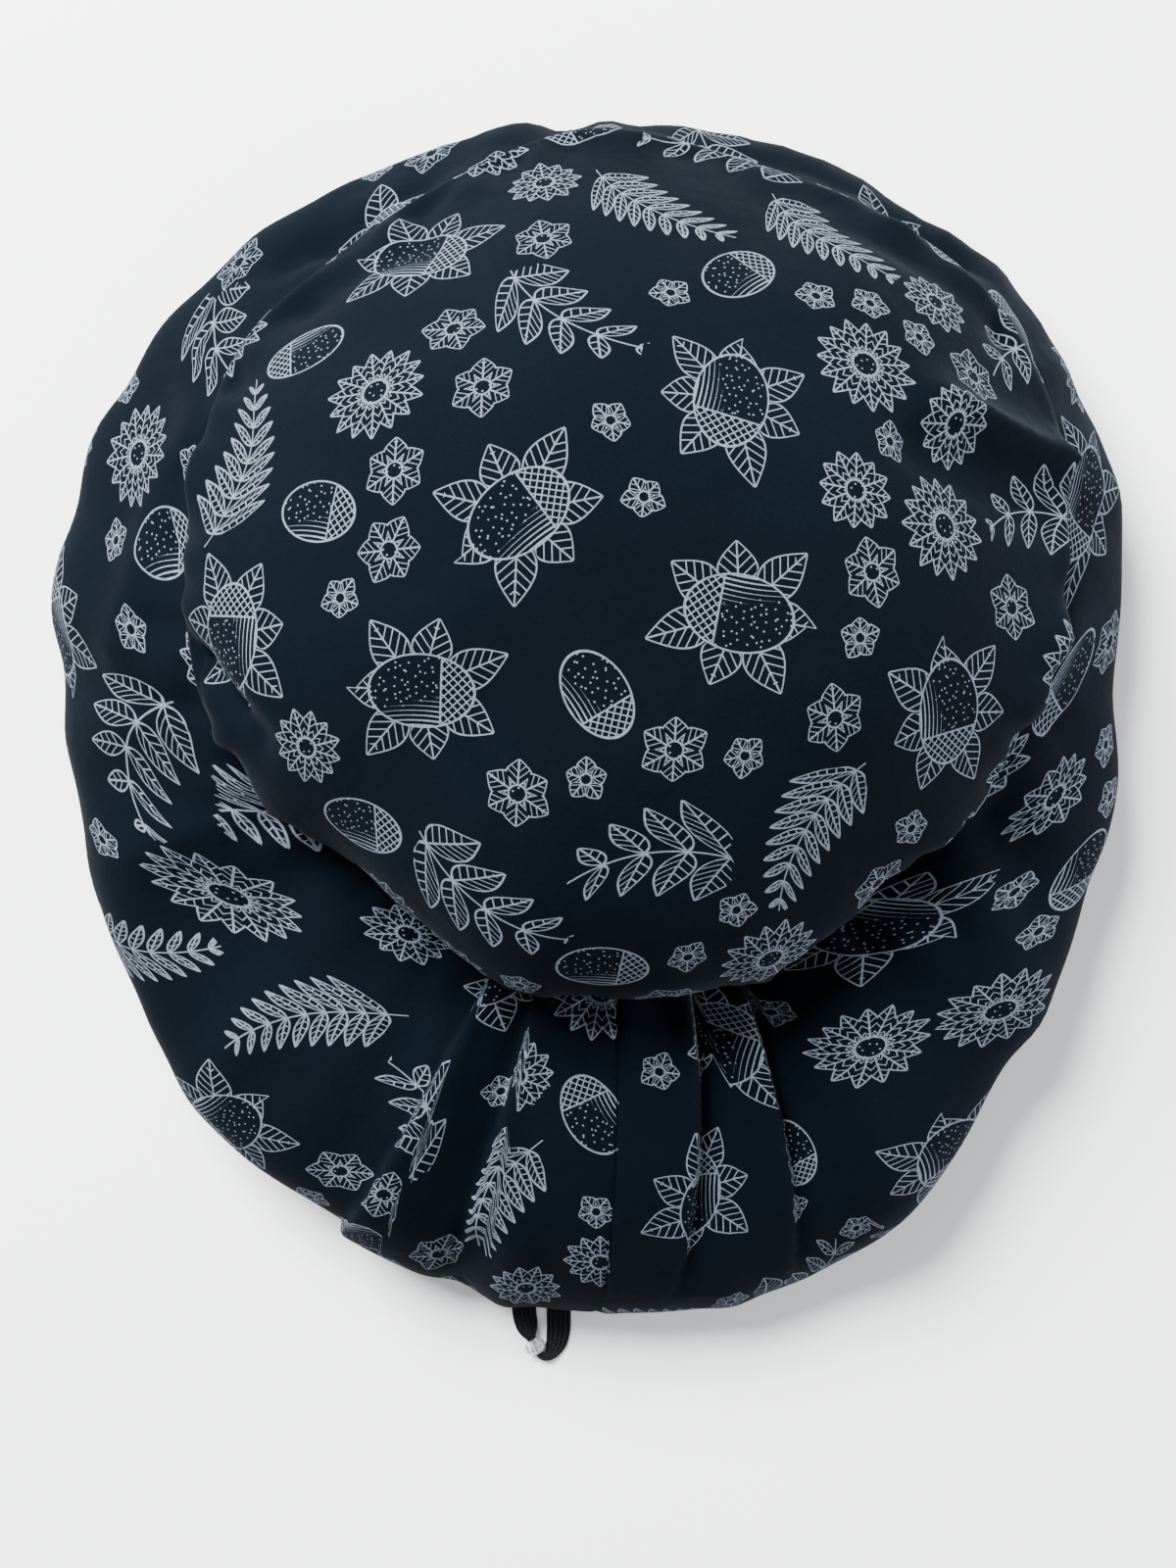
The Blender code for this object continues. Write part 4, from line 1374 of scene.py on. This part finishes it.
class CAP_OT_stage(bpy.types.Operator):
    """Sets the floor, the soft lights and the camera"""

    bl_idname = "cap.stage"
    bl_label = "Stage"

    def execute(self, context):
        scene = context.scene
        bpy.ops.object.select_all(action="DESELECT")
        bpy.ops.mesh.primitive_plane_add(size=scene.cap_sizes.floor)
        floor = context.object
        floor.name = "floor"
        floor.data.materials.append(painted_board(scene.cap_colours.floor))
        for light in rows(LIGHT_COLUMNS, LIGHTS):
            data = bpy.data.lights.new(light["name"], "AREA")
            data.shape = "DISK"
            data.size = light["size"]
            data.energy = light["power"]
            lamp = bpy.data.objects.new(light["name"], data)
            lamp.location = (light["x"], light["y"], light["z"])
            lamp.rotation_euler = (-lamp.location).to_track_quat("-Z", "Y").to_euler()
            scene.collection.objects.link(lamp)
        if scene.world is None:
            scene.world = bpy.data.worlds.new("Studio")
        scene.world.use_nodes = True
        sky = scene.world.node_tree.nodes["Background"]
        sky.inputs["Color"].default_value = (*linear("#f2f5f8"), 1.0)
        sky.inputs["Strength"].default_value = 0.32
        data = bpy.data.cameras.new("camera")
        data.sensor_fit = "VERTICAL"
        data.angle_y = CAMERA_ANGLE
        data.clip_start = 0.01
        camera = bpy.data.objects.new("camera", data)
        camera.location = (*CAMERA_OVER, CAMERA_HEIGHT)
        scene.collection.objects.link(camera)
        scene.camera = camera
        return {"FINISHED"}


class CAP_PT_panel(bpy.types.Panel):
    """Lists the cap's sizes, colours and pieces"""

    bl_idname = "CAP_PT_panel"
    bl_label = "Scrub cap"
    bl_space_type = "VIEW_3D"
    bl_region_type = "UI"
    bl_category = "Scrub cap"

    def draw(self, context):
        for group in (context.scene.cap_sizes, context.scene.cap_colours):
            box = self.layout.box()
            for name in group.bl_rna.properties.keys():
                if name not in ("rna_type", "name"):
                    box.prop(group, name)
        for operator in OPERATORS:
            self.layout.operator(operator.bl_idname)


OPERATORS = (CAP_OT_crown, CAP_OT_band, CAP_OT_stitches, CAP_OT_elastic, CAP_OT_bead, CAP_OT_stage)
CLASSES = (CapSizes, CapColours, *OPERATORS, CAP_PT_panel)


def register():
    for cls in CLASSES:
        bpy.utils.register_class(cls)
    bpy.types.Scene.cap_sizes = bpy.props.PointerProperty(type=CapSizes)
    bpy.types.Scene.cap_colours = bpy.props.PointerProperty(type=CapColours)


def unregister():
    del bpy.types.Scene.cap_colours
    del bpy.types.Scene.cap_sizes
    for cls in reversed(CLASSES):
        bpy.utils.unregister_class(cls)


def main():
    register()
    bpy.ops.cap.crown()
    bpy.ops.cap.band()
    bpy.ops.cap.stitches()
    bpy.ops.cap.elastic()
    bpy.ops.cap.bead()
    bpy.ops.cap.stage()


if __name__ == "__main__":
    main()
